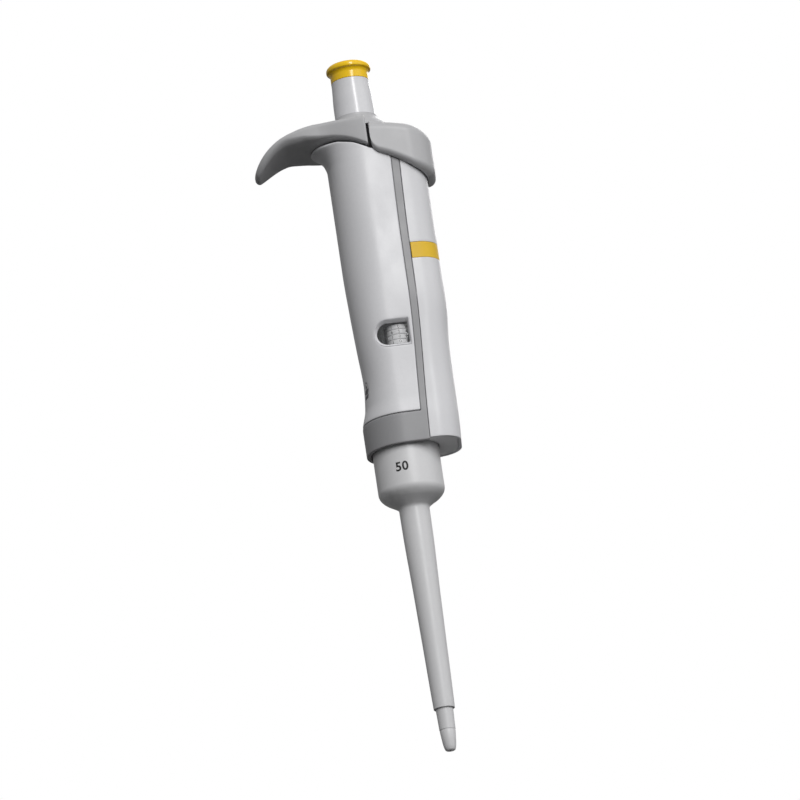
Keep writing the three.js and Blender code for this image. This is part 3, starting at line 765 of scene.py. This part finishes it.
# Each deck: lower and upper height, the hole's radius and where its right side is cut off.
DECKS = ((109.2, 111.0, 9.6, 8.5), (186.0, 188.0, 6.5, 11.2))
GUIDE_LOW, GUIDE_HIGH = 150, 152


def frame_skin():
    """The collar and the two strips beside the rail, as one skin."""
    strip_steps, middle_steps = 6, 110
    collar = spread(COLLAR_BOTTOM, COLLAR_TOP, 0.6)
    levels = np.concatenate((collar, spread(COLLAR_TOP, BODY_TOP, 0.7)[1:]))

    def spans(z, points, length):
        outer = length_to(points, length, strip_right(z))
        inner = length_to(points, length, strip_left(z))
        left = np.linspace(-outer, -inner, strip_steps + 1)
        centre = np.linspace(-inner, inner, middle_steps + 1)[1:-1]
        return np.concatenate((left, centre, -left[::-1]))

    points = skin([(z, 0.0) for z in levels], spans)
    columns = len(points) // len(levels)
    faces = []
    for r in range(len(levels) - 1):
        for c in range(columns - 1):
            in_strip = c < strip_steps or c >= columns - 1 - strip_steps
            if in_strip or r < len(collar) - 1:
                a = r * columns + c
                faces.append((a, a + 1, a + columns + 1, a + columns))
    used = sorted({i for f in faces for i in f})
    new = {old: i for i, old in enumerate(used)}
    points = [points[i] for i in used]
    faces = [tuple(new[i] for i in f) for f in faces]
    sheet(make("grey_frame", points, faces, "handle", "grey_plastic", ["core_frame"]), WALL, 0.25)


def plate(z0, z1, hole, right_edge, sides=96):
    """Points and faces of a deck: the handle's section cut off at the right, with a round hole."""
    section, length = outline((z0 + z1) / 2, DECK_INSET)
    whole = length[-1]
    ring = along(section, length, np.linspace(-whole, whole, 4 * sides, endpoint=False))[::-1].copy()
    ring[:, 0] = np.minimum(ring[:, 0], right_edge)
    angle = np.unwrap(np.arctan2(ring[:, 1], ring[:, 0]))
    at = np.linspace(angle[0], angle[0] + 2 * math.pi, sides, endpoint=False)
    order = np.append(angle, angle[0] + 2 * math.pi)
    rim = np.vstack((ring, ring[:1]))
    outer = np.column_stack((np.interp(at, order, rim[:, 0]), np.interp(at, order, rim[:, 1])))
    inner = np.column_stack((hole * np.cos(at), hole * np.sin(at)))
    kept = inner[:, 0] < right_edge - 0.3
    return slab(inner[kept], outer[kept], z0, z1, bool(kept.all()))


def frame_decks():
    """The two decks, then a short one with a tongue towards the ejector's rod."""
    half = [(7.3, -10.1), (9.4, -9.6), (9.4, -5.5), (12.3, -5.5)]
    guide = prism(half + [(x, -y) for x, y in half[::-1]], GUIDE_LOW, GUIDE_HIGH)
    for i, shape in enumerate([plate(*deck) for deck in DECKS] + [guide]):
        obj = make(f"frame_deck_{i + 1}", *shape, "handle", "grey_plastic")
        round_edges(obj, 0.2, 2)
        settle(obj)


# ---- rail, band and foot
BAND_Z, BAND_HEIGHT = 163.6, 5.4
RAIL_BOTTOM = COLLAR_BOTTOM + 0.6
RAIL_COLUMNS = 91
FOOT_COLUMNS, FOOT_INNER_R = 61, 11.2


def rail_span(extra):
    def spans(z, points, length):
        start = length_to(points, length, strip_right(z) + extra)
        return np.linspace(start, 2 * length[-1] - start, RAIL_COLUMNS)
    return spans


def rail_faces(rows):
    return grid_faces(len(rows), RAIL_COLUMNS)


def ejector_rail():
    """The sliding cover, with a shallow seat for the band."""
    low, high = BAND_Z - 0.1, BAND_Z + BAND_HEIGHT + 0.1
    rows = [(z, 0.0) for z in spread(RAIL_BOTTOM, low, 0.8)]
    rows += [(z, 0.6) for z in spread(low + 0.02, high - 0.02, 0.8)]
    rows += [(z, 0.0) for z in spread(high, BODY_TOP, 0.8)]
    points = skin(rows, rail_span(RUNNING))
    obj = make("ejector_cover", points, rail_faces(rows), "ejector", "white_plastic", ["ejector_rail"])
    sheet(obj, 1.0, 0.22)


def color_band():
    rows = [(z, 0.02) for z in spread(BAND_Z, BAND_Z + BAND_HEIGHT, 0.4)]
    points = skin(rows, rail_span(RUNNING + 0.1))
    faces = rail_faces(rows)
    obj = make("yellow_band", points, faces, "ejector", "yellow_plastic", ["color_band"], BAND_LOOK)
    sheet(obj, 0.5, 0.12, 2)


def sleeve_foot():
    """The foot that carries the sleeve, inside the lower end of the rail."""
    z0, z1 = RAIL_BOTTOM + 0.1, RAIL_BOTTOM + 3.0
    section, length = outline((z0 + z1) / 2, 1.2)
    start = length_to(section, length, strip_right(z0) + RUNNING + 0.3)
    outer = along(section, length, np.linspace(start, 2 * length[-1] - start, FOOT_COLUMNS))
    first, last = math.atan2(*outer[0][::-1]), math.atan2(*outer[-1][::-1])
    inner = [
        (FOOT_INNER_R * math.cos(t), FOOT_INNER_R * math.sin(t))
        for t in np.linspace(first, last, FOOT_COLUMNS)
    ]
    shape = slab(inner, outer, z0, z1, closed=False)
    obj = make("sleeve_foot", *shape, "ejector", "dark_plastic", ["ejector_bridge"], BRIDGE_LOOK)
    round_edges(obj, 0.3, 3)
    settle(obj)


frame_skin()
frame_decks()
ejector_rail()
color_band()
sleeve_foot()


# ---- head and hook
SPLIT_X, HEAD_TOP, HEAD_HALF_DEPTH, HOOK_HALF_DEPTH = 3.3, 215.0, 13.5, 11.8
HEAD_END = SPLIT_X - 0.3
HOOK_TIP_X = -35.8
BOSS_R, BORE_R = 8.3, 7.0


def bezier(points, steps):
    """Points of a curve led by its control points, without its first point."""
    p = [np.array(q, float) for q in points]
    out = []
    for k in range(1, steps + 1):
        t = k / steps
        line = list(p)
        while len(line) > 1:
            line = [(1 - t) * a + t * b for a, b in zip(line, line[1:])]
        out.append(line[0])
    return out


def by_length(line, share):
    line = np.array(line)
    length = np.concatenate(([0], np.cumsum(np.linalg.norm(np.diff(line, axis=0), axis=1))))
    at = np.asarray(share) * length[-1]
    return np.column_stack((np.interp(at, length, line[:, 0]), np.interp(at, length, line[:, 1])))


def plan_outline():
    """Half of the head and hook as seen from above, from the hook's tip to the split."""
    start, bend = (SPLIT_X, HEAD_HALF_DEPTH), (-13, HOOK_HALF_DEPTH)
    near = bezier([start, (-4, HEAD_HALF_DEPTH), (-9, HOOK_HALF_DEPTH), bend], 30)
    far = bezier([bend, (-24, HOOK_HALF_DEPTH), (HOOK_TIP_X, 9.5), (HOOK_TIP_X, 0)], 80)
    return np.array([start] + near + far)[::-1]


def head_section(low, high, half, top_r, low_r, belly):
    """A rounded section between two points of the side view; belly lifts its front lower edge."""
    tall = float(np.linalg.norm(high - low))
    rt = min(top_r, 0.49 * tall, 0.95 * half)
    rb = min(low_r, 0.49 * tall, 0.95 * half)
    crown = 0.35 * min(1.0, tall / 6)
    side = [(y, 0.0) for y in np.linspace(0, half - rb, 9)]
    for t in np.linspace(0, math.pi / 2, 11)[1:]:
        side.append((half - rb + rb * math.sin(t), rb - rb * math.cos(t)))
    side += [(half, h) for h in np.linspace(rb, tall - rt, 6)[1:]]
    for t in np.linspace(0, math.pi / 2, 13)[1:]:
        side.append((half - rt + rt * math.cos(t), tall - rt + rt * math.sin(t)))
    side += [(y, tall) for y in np.linspace(half - rt, 0, 10)[1:]]
    side = [(y, h - crown * (y / half) ** 2 * (h / tall) ** 2) for y, h in side]
    loop = side + [(-y, h + belly * (y / half) ** 2 * (1 - h / tall)) for y, h in side[-2:0:-1]]
    along_section = (high - low) / tall
    return [(low[0] + h * along_section[0], y, low[1] + h * along_section[1]) for y, h in loop]


def head_lines():
    """The head's upper and lower lines in side view, from the split to the hook's tip."""
    tip = np.array((-35.75, 201.75))
    top = [np.array((x, HEAD_TOP)) for x in np.linspace(HEAD_END, -13.8, 20)]
    top += bezier([(-13.8, HEAD_TOP), (-25.5, HEAD_TOP - 0.7), (-33.0, 208.2), (-35.5, 202.9)], 50)
    top += bezier([(-35.5, 202.9), (-35.85, 202.1), tip], 6)
    low = [np.array((HEAD_END, 203.6))]
    low += bezier([(HEAD_END, 203.6), (-3.5, 207.4), (-9, 207.4)], 14)
    low += bezier([(-9, 207.4), (-14, 207.5), (-18, 208.0)], 8)
    low += bezier([(-18, 208.0), (-21, 208.1), (-24, 208.0)], 6)
    low += bezier([(-24, 208.0), (-28, 207), (-30.5, 204.6), (-34.2, 201.4)], 24)
    low += bezier([(-34.2, 201.4), (-35.3, 200.9), tip], 6)
    return top, low


def head():
    """Head and hook, lofted through upright sections, with the boss and bore for the button."""
    share = np.concatenate((np.linspace(0, 0.9, 64), 1 - 0.1 * np.linspace(1, 0.0, 22)[1:-1] ** 1.6))
    tops, lows = (by_length(line, share) for line in head_lines())
    plan = plan_outline()
    points = []
    for a, b in zip(lows, tops):
        x = (a[0] + b[0]) / 2
        half = max(0.25, float(np.interp(x, plan[:, 0], plan[:, 1])))
        top_r = np.interp(x, (-34, -20, -8, SPLIT_X), (2.6, 3.0, 2.4, 2.0))
        low_r = np.interp(x, (-34, -24, -14, -6, SPLIT_X), (2.6, 2.4, 1.2, 0.9, 0.7))
        belly = np.interp(x, (-34, -26, -18, -12, -6, SPLIT_X), (0.0, 1.3, 2.1, 1.9, 1.3, 0.5))
        points += head_section(a, b, half, top_r, low_r, belly)
    rows = len(share)
    columns = len(points) // rows
    faces = grid_faces(rows, columns, closed=True)
    faces.append(tuple(range(columns)))
    faces.append(tuple(range((rows - 1) * columns, rows * columns))[::-1])
    obj = make("hook_head", points, faces, "handle", "grey_plastic", ["head_shell"], HEAD_PAINTED_LIGHT_LOOK)
    round_edges(obj, 0.7, 4, 60)
    boss_top = HEAD_TOP - 0.2
    boss_line = filleted([(0, 205, 0), (BOSS_R, 205, 0), (BOSS_R, boss_top, 0.3), (0, boss_top, 0)])
    boss = turned("boss_tool", boss_line, "handle", "grey_plastic")
    bore = turned("bore_tool", [(0, 190), (BORE_R, 190), (BORE_R, 230), (0, 230)], "handle", "grey_plastic")
    cut(obj, boss, "UNION")
    cut(obj, bore)
    settle(obj, 40, (boss, bore))


def neck():
    profile = filleted([
        (9.1, 212.3, 0), (11.3, 212.3, 0), (11.2, 213.0, 0.3), (9.7, 214.7, 1.0), (8.3, 215.8, 1.0),
        (7.3, 216.9, 0.9), (7.15, 217.9, 0.2), (BORE_R, 217.9, 0), (BORE_R, 214.95, 0), (9.1, 214.95, 0),
    ])
    settle(turned("neck_cone", profile, "handle", "grey_plastic", ["neck_ring"], look=HEAD_PAINTED_LIGHT_LOOK), 35)


head()
neck()


# ---- ejector button
CAP_REACH, CAP_START = 23.4, SPLIT_X + 0.6
CAP_COLUMNS, CAP_HOLE_R, CAP_WALL = 141, 9.4, 1.0
SHOULDER_R, CORNER_LOW, CORNER_TOP = 3.0, 2.8, 0.5


def cap_rim():
    """The button's outer line in plan, its normals towards the inside, and the hole's line."""
    points, length = half_outline(15, 14.2, CAP_REACH, 12.6, corner=9.0)
    start = length_to(points, length, CAP_START)
    t = np.linspace(0, 1, CAP_COLUMNS)
    eased = 0.5 - 0.5 * np.cos(math.pi * t)
    rim = along(points, length, start + (0.55 * t + 0.45 * eased) * (2 * length[-1] - 2 * start))
    step = np.gradient(rim, axis=0)
    normal = np.column_stack((-step[:, 1], step[:, 0]))
    normal /= np.linalg.norm(normal, axis=1)[:, None]
    if (normal * rim).sum() > 0:
        normal = -normal
    for end in (0, -1):
        normal[end] = (0, -math.copysign(1, rim[end, 1]))
    turn = math.acos(CAP_START / CAP_HOLE_R)
    angle = np.linspace(math.copysign(turn, rim[0, 1]), math.copysign(turn, rim[-1, 1]), CAP_COLUMNS)
    hole = np.column_stack((CAP_HOLE_R * np.cos(angle), CAP_HOLE_R * np.sin(angle)))
    hole[0, 0] = hole[-1, 0] = CAP_START
    return rim, normal, hole


def corner(x, radius):
    """How far an edge rounded at the split has moved by this x."""
    within = np.clip(CAP_START + radius - x, 0, radius)
    return radius - np.sqrt(np.maximum(radius * radius - within**2, 0))


def cap_low(x):
    knots = (3.6, 8.6, 12.6, 17.4, 20.7, 22.3, 23.4)
    return smooth_line(knots, (202.2, 200.2, 198.0, 195.2, 193.8, 193.0, 192.2), x) + corner(x, CORNER_LOW)


def cap_top(x):
    knots = (3.6, 10, 16.5, 20.4, 23.4)
    return smooth_line(knots, (212.1, 211.45, 210.1, 208.6, 207.0), x) - corner(x, CORNER_TOP)


def lip_radius(rim):
    """The lower lip's turn inwards, no further than leaves it clear of the handle."""
    section, length = outline(200)
    grip = along(section, length, np.linspace(-length[-1], length[-1], 400))
    wanted = smooth_line((3.6, 14, 20, 23.4), (1.7, 1.9, 2.4, 2.7), rim[:, 0])
    return np.minimum(wanted, nearest(rim, grip) - 0.35)


def ejector_button():
    """The thumb button: a turned-in lip, an upright wall, a round shoulder and a flat top."""
    rim, normal, hole = cap_rim()
    rows = []
    low, high = cap_low(rim[:, 0]), cap_top(rim[:, 0]) - SHOULDER_R
    lip = lip_radius(rim)
    for k in np.linspace(0, math.pi / 2, 10)[:-1]:
        spot = rim + normal * (lip * (1 - math.sin(k)))[:, None]
        rows.append(np.column_stack((spot, low + lip * (1 - math.cos(k)))))
    for k in np.linspace(0, 1, 24):
        rows.append(np.column_stack((rim, low + lip + k * (high - low - lip))))
    for k in np.linspace(0, math.pi / 2, 10)[1:]:
        spot = rim + normal * (SHOULDER_R * (1 - math.cos(k)))
        rows.append(np.column_stack((spot, cap_top(spot[:, 0]) - SHOULDER_R * (1 - math.sin(k)))))
    edge = rows[-1][:, :2]
    for k in np.linspace(0, 1, 12)[1:]:
        spot = edge + k * (hole - edge)
        rows.append(np.column_stack((spot, cap_top(spot[:, 0]))))
    faces = grid_faces(len(rows), CAP_COLUMNS)
    obj = make("ejector_cap", np.vstack(rows), faces, "ejector", "light_grey_plastic", ["ejector_button"])
    sheet(obj, CAP_WALL, 0.5, 4, even=False)


ejector_button()


# ---- turned pieces
def sleeve():
    outside = [
        (3.05, 14, 0.15), (3.45, 14, 0.2), (3.62, 20, 3), (3.93, 35, 5), (4.42, 56, 5), (4.88, 70, 5),
        (5.0, 82.0, 0.7), (6.2, 83.0, 0.8), (9.4, 85.0, 2.0), (10.9, 86.9, 1.4), (10.9, 108, 0.5),
    ]
    bore = [(9.9, 108, 0.3), (9.9, 88.3, 0.5), (5.4, 85.2, 1), (4.2, 83.5, 1), (4.1, 70, 1), (3.3, 35, 1)]
    line = filleted(outside + bore, steps=8)
    tube = turned("ejector_tube", line, "ejector", "white_plastic", ["ejector_sleeve"], 160, look=SLEEVE_LOOK)
    settle(tube, 30)


def nose_cone():
    outside = [
        (0.5, 0, 0.1), (1.55, 0, 0.5), (1.95, 1.1, 0.6), (2.2, 2.6, 1), (2.55, 6.4, 0), (2.52, 6.55, 0.05),
        (2.52, 6.9, 0.05), (2.62, 7.05, 0), (2.85, 14, 1), (2.85, 90.3, 0.6), (8.0, 90.3, 0.3),
        (8.0, 91.5, 0.3), (3.4, 91.5, 0.3), (3.4, 94.6, 0.2),
    ]
    bore = [(2.5, 94.6, 0.1), (2.5, 92.2, 0), (1.35, 92.2, 0.1), (1.35, 27, 0.5), (0.5, 25, 0.5)]
    line = filleted(outside + bore)
    cone = turned("nose_cone", line, "tip_unit", "light_grey_plastic", ["tip_cone"], 96, look=CONE_LOOK)
    settle(cone, 30)


def button():
    cap = [
        (0, 231, 0), (6.3, 231, 0.08), (6.3, 233.5, 0.7), (6.75, 234.35, 0.5), (7.4, 234.7, 0.35),
        (7.4, 235.9, 0.5), (6.6, 236.75, 0.8), (5.2, 237, 0.6), (4.2, 236.72, 0.8), (0, 236.55, 0),
    ]
    shaft = [
        (0, 213, 0), (6.72, 213, 0.3), (6.72, 221, 3), (6.66, 224, 3), (6.42, 227.2, 3), (6.3, 229.5, 1.2),
        (6.3, 230.9, 0.15), (0, 230.9, 0),
    ]
    pieces = (("button_top", cap, "yellow_plastic", "button_cap"),
              ("button_shaft", shaft, "gloss_white_plastic", "button_stem"))
    for name, line, slot, node in pieces:
        settle(turned(name, filleted(line, steps=8), "plunger", slot, [node]), 35)


sleeve()
nose_cone()
button()


# ---- springs
def spring(name, node, radius, wire, z0, z1, turns, x):
    """A helical spring with closed ends."""
    around, per_turn = 10, 40
    steps = int(turns * per_turn)
    points = []
    for i in range(steps + 1):
        t = i / steps
        climb = smooth_line((0, 0.9 / turns, 1 - 0.9 / turns, 1), (0, 0.035, 0.965, 1), t)
        angle = 2 * math.pi * turns * t
        z = z0 + wire + (z1 - z0 - 2 * wire) * climb
        for k in range(around):
            a = 2 * math.pi * k / around
            r = radius + wire * math.cos(a)
            points.append((x + r * math.cos(angle), r * math.sin(angle), z + wire * math.sin(a)))
    faces = grid_faces(steps + 1, around, closed=True)
    faces.append(tuple(range(around))[::-1])
    faces.append(tuple(range(steps * around, (steps + 1) * around)))
    obj = settle(make(name, points, faces, "handle", "steel", [node]), 60)
    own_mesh(obj)


spring("coil_button", "button_spring", 3.6, 0.35, 168.2, 189.8, 9, 0)
spring("coil_piston", "piston_spring", 3.0, 0.30, 98.2, 123.0, 10, 0)
spring("coil_cone", "cone_spring", 6.6, 0.40, 91.8, 105.4, 5, 0)
spring("coil_ejector", "ejector_spring", 2.4, 0.30, 152.2, 181.8, 11, 14.5)


# ---- volume wheels and numbers
def glyphs(text, size, spacing=1.0, bold=0.0):
    """Some digits, centred and cut into narrow faces: points in millimetres, faces and rim edges."""
    curve = bpy.data.curves.new("digits", "FONT")
    curve.body, curve.size = text, size
    curve.align_x, curve.align_y = "CENTER", "CENTER"
    curve.space_character = spacing
    curve.offset = size * bold
    curve.resolution_u = 5
    carrier = bpy.data.objects.new("digits", curve)
    bpy.context.scene.collection.objects.link(carrier)
    bpy.context.view_layer.update()
    mesh = bpy.data.meshes.new_from_object(carrier.evaluated_get(bpy.context.evaluated_depsgraph_get()))
    bpy.data.objects.remove(carrier)
    work = bmesh.new()
    work.from_mesh(mesh)
    low = min(v.co.x for v in work.verts)
    high = max(v.co.x for v in work.verts)
    bottom = min(v.co.y for v in work.verts)
    top = max(v.co.y for v in work.verts)
    for x in np.arange(low, high, size * 0.08)[1:]:
        everything = work.verts[:] + work.edges[:] + work.faces[:]
        bmesh.ops.bisect_plane(work, geom=everything, plane_co=(x, 0, 0), plane_no=(1, 0, 0))
    bmesh.ops.remove_doubles(work, verts=work.verts, dist=size * 1e-4)
    work.verts.index_update()
    points = [(v.co.x - (low + high) / 2, v.co.y - (bottom + top) / 2) for v in work.verts]
    faces = [tuple(v.index for v in f.verts) for f in work.faces]
    edges = [tuple(v.index for v in e.verts) for e in work.edges if e.is_boundary]
    work.free()
    bpy.data.meshes.remove(mesh)
    return points, faces, edges


def printed(flat, radius, centre, angle, z, thick, sink):
    """Digits wrapped round an upright cylinder, as thin closed islands: points and faces."""
    points, faces, edges = flat
    n = len(points)
    out = []
    for r in (radius - sink, radius + thick):
        for x, y in points:
            a = angle + x / radius
            out.append((centre[0] + r * math.cos(a), centre[1] + r * math.sin(a), z + y))
    solid = [tuple(n + i for i in f) for f in faces] + [f[::-1] for f in faces]
    solid += [(a, b, n + b, n + a) for a, b in edges]
    return out, solid


WHEEL_CENTRE = (3.2, -5.95)
WHEEL_R, WHEEL_BORE_R, WHEEL_THICK, WHEEL_PITCH, FIRST_WHEEL_Z = 3.95, 0.75, 1.55, 1.7, 135.35
SHOWN = (0, 0, 5, 0)  # the digits that face out, the finest wheel first
FACING = math.radians(-90 + 8)
PINION_TEETH, PINION_LOW, GEAR_TEETH = 8, 132.8, 32
NUMBER_ANGLE, NUMBER_Z, SLEEVE_R = math.radians(-90 - 9.9), 93.7, 10.9


def pinion_shape(z0, z1):
    """Straight-sided teeth that mesh with the drive gear: points and faces."""
    x, y = WHEEL_CENTRE
    size = 2 * math.hypot(x, y) / (PINION_TEETH + GEAR_TEETH)
    turn = math.atan2(y, x) + math.pi
    line = []
    for i in range(PINION_TEETH):
        for side, tip in ((-1, 0), (-1, 1), (1, 1), (1, 0)):
            half = math.pi / PINION_TEETH * (0.42 + (-0.2 if tip else 0.22))
            radius = PINION_TEETH * size / 2 + (0.75 if tip else -1.05) * size
            a = turn + 2 * math.pi * i / PINION_TEETH + side * half
            line.append((x + radius * math.cos(a), y + radius * math.sin(a)))
    return prism(line, z0, z1)


def wheel(k, z0, z1):
    line = [(WHEEL_BORE_R, z0, 0.05), (WHEEL_R, z0, 0.14), (WHEEL_R, z1, 0.14), (WHEEL_BORE_R, z1, 0.05)]
    settle(turned(
        f"number_wheel_{k}", filleted(line, steps=4), f"wheel_{k}", "gloss_white_plastic",
        [f"volume_wheel_{k}"], 96, WHEEL_CENTRE, WHEEL_PAINTED_LIGHT_LOOK,
    ), 30)


def wheel_digits(k, digits, middle):
    points, faces = [], []
    for d, flat in enumerate(digits):
        angle = FACING - 2 * math.pi * (d - SHOWN[k - 1]) / 10
        p, f = printed(flat, WHEEL_R, WHEEL_CENTRE, angle, middle, 0.02, 0.02)
        faces += [tuple(i + len(points) for i in face) for face in f]
        points += p
    settle(make(f"wheel_digits_{k}", points, faces, f"wheel_{k}", "black_plastic"), 30)


def counter():
    digits = [glyphs(str(d), 1.5) for d in range(10)]
    for k in range(1, 5):
        z0 = FIRST_WHEEL_Z + (k - 1) * WHEEL_PITCH
        z1 = z0 + WHEEL_THICK
        wheel(k, z0, z1)
        if k == 1:
            shape = pinion_shape(PINION_LOW, z0 + 0.1)
            pinion = make("wheel_pinion", *shape, "wheel_1", "gloss_white_plastic")
            round_edges(pinion, 0.04, 2)
            settle(pinion)
        wheel_digits(k, digits, (z0 + z1) / 2)


def capacity_number():
    flat = glyphs("50", 4.2, 1.08, 0.025)
    shape = printed(flat, SLEEVE_R, (0, 0), NUMBER_ANGLE, NUMBER_Z, 0.02, 0.03)
    settle(make("capacity_number", *shape, "ejector", "black_plastic"), 30)


counter()
capacity_number()


# ---- floor, lights and camera
LENS, AIM_X, AIM_Z = 289.3, 0.7, 119.3
TILT, LEAN, DISTANCE = math.radians(17.5), math.radians(8.573), 2.1
LIGHT_AIM = (SHIFT[0], 0, height(120))


def floor():
    work = bmesh.new()
    bmesh.ops.create_circle(work, cap_ends=True, segments=96, radius=0.5)
    mesh = bpy.data.meshes.new("floor")
    work.to_mesh(mesh)
    work.free()
    obj = bpy.data.objects.new("floor", mesh)
    obj.location = (SHIFT[0], 0, -1.3)
    bpy.context.scene.collection.objects.link(obj)
    n = Nodes("pale_floor")
    base = n.mixed(n.ranged(n.noise(3, 3.0), 0.3, 0.7, 0, 1), (0.78, 0.78, 0.78), (0.84, 0.84, 0.84))
    n.link(base, n.shader.inputs["Base Color"])
    n.shader.inputs["Roughness"].default_value = 0.7
    mesh.materials.append(n.material)


def softbox(name, place, size, power):
    light = bpy.data.lights.new(name, "AREA")
    light.shape = "RECTANGLE"
    light.size, light.size_y = size
    light.energy = power
    obj = bpy.data.objects.new(name, light)
    obj.location = place
    obj.rotation_mode = "QUATERNION"
    obj.rotation_quaternion = (Vector(LIGHT_AIM) - Vector(place)).to_track_quat("-Z", "Y")
    bpy.context.scene.collection.objects.link(obj)


def world():
    """White to look at, with a dim soft sky to light by."""
    place = bpy.data.worlds.new("studio")
    bpy.context.scene.world = place
    place.use_nodes = True
    tree = place.node_tree
    tree.nodes.clear()
    out = tree.nodes.new("ShaderNodeOutputWorld")
    seen = tree.nodes.new("ShaderNodeBackground")
    seen.inputs["Color"].default_value = (1, 1, 1, 1)
    sky = tree.nodes.new("ShaderNodeBackground")
    sky.inputs["Strength"].default_value = 0.25
    ramp = tree.nodes.new("ShaderNodeMapRange")
    where = tree.nodes.new("ShaderNodeTexCoord")
    split = tree.nodes.new("ShaderNodeSeparateXYZ")
    tree.links.new(where.outputs["Generated"], split.inputs[0])
    tree.links.new(split.outputs["Z"], ramp.inputs["Value"])
    set_range(ramp, -0.6, 0.7, 0.03, 1.62)
    tree.links.new(ramp.outputs[0], sky.inputs["Color"])
    rays = tree.nodes.new("ShaderNodeLightPath")
    mix = tree.nodes.new("ShaderNodeMixShader")
    tree.links.new(rays.outputs["Is Camera Ray"], mix.inputs[0])
    tree.links.new(sky.outputs[0], mix.inputs[1])
    tree.links.new(seen.outputs[0], mix.inputs[2])
    tree.links.new(mix.outputs[0], out.inputs["Surface"])
    bpy.context.scene.view_settings.view_transform = "Standard"


def camera():
    """Below the pipette and looking up at it, turned so that its top leans to the left."""
    data = bpy.data.cameras.new("camera")
    data.sensor_width = 36
    data.lens = LENS
    data.clip_start, data.clip_end = 0.05, 50
    data.dof.use_dof = False
    obj = bpy.data.objects.new("camera", data)
    look = Vector((0, math.cos(TILT), math.sin(TILT)))
    aim = Vector((SHIFT[0] + AIM_X * MM, 0, height(AIM_Z)))
    obj.rotation_mode = "QUATERNION"
    obj.rotation_quaternion = Matrix.Rotation(LEAN, 4, look).to_quaternion() @ look.to_track_quat("-Z", "Y")
    obj.location = aim - look * DISTANCE
    bpy.context.scene.collection.objects.link(obj)
    bpy.context.scene.camera = obj


floor()
world()
softbox("key", (0.56, -1.6, 0.85), (0.24, 1.3), 22)
softbox("side", (1.5, -0.9, 0.5), (1.5, 1.5), 6)
softbox("rim", (0.5, 1.4, 0.8), (0.8, 0.8), 6)
camera()
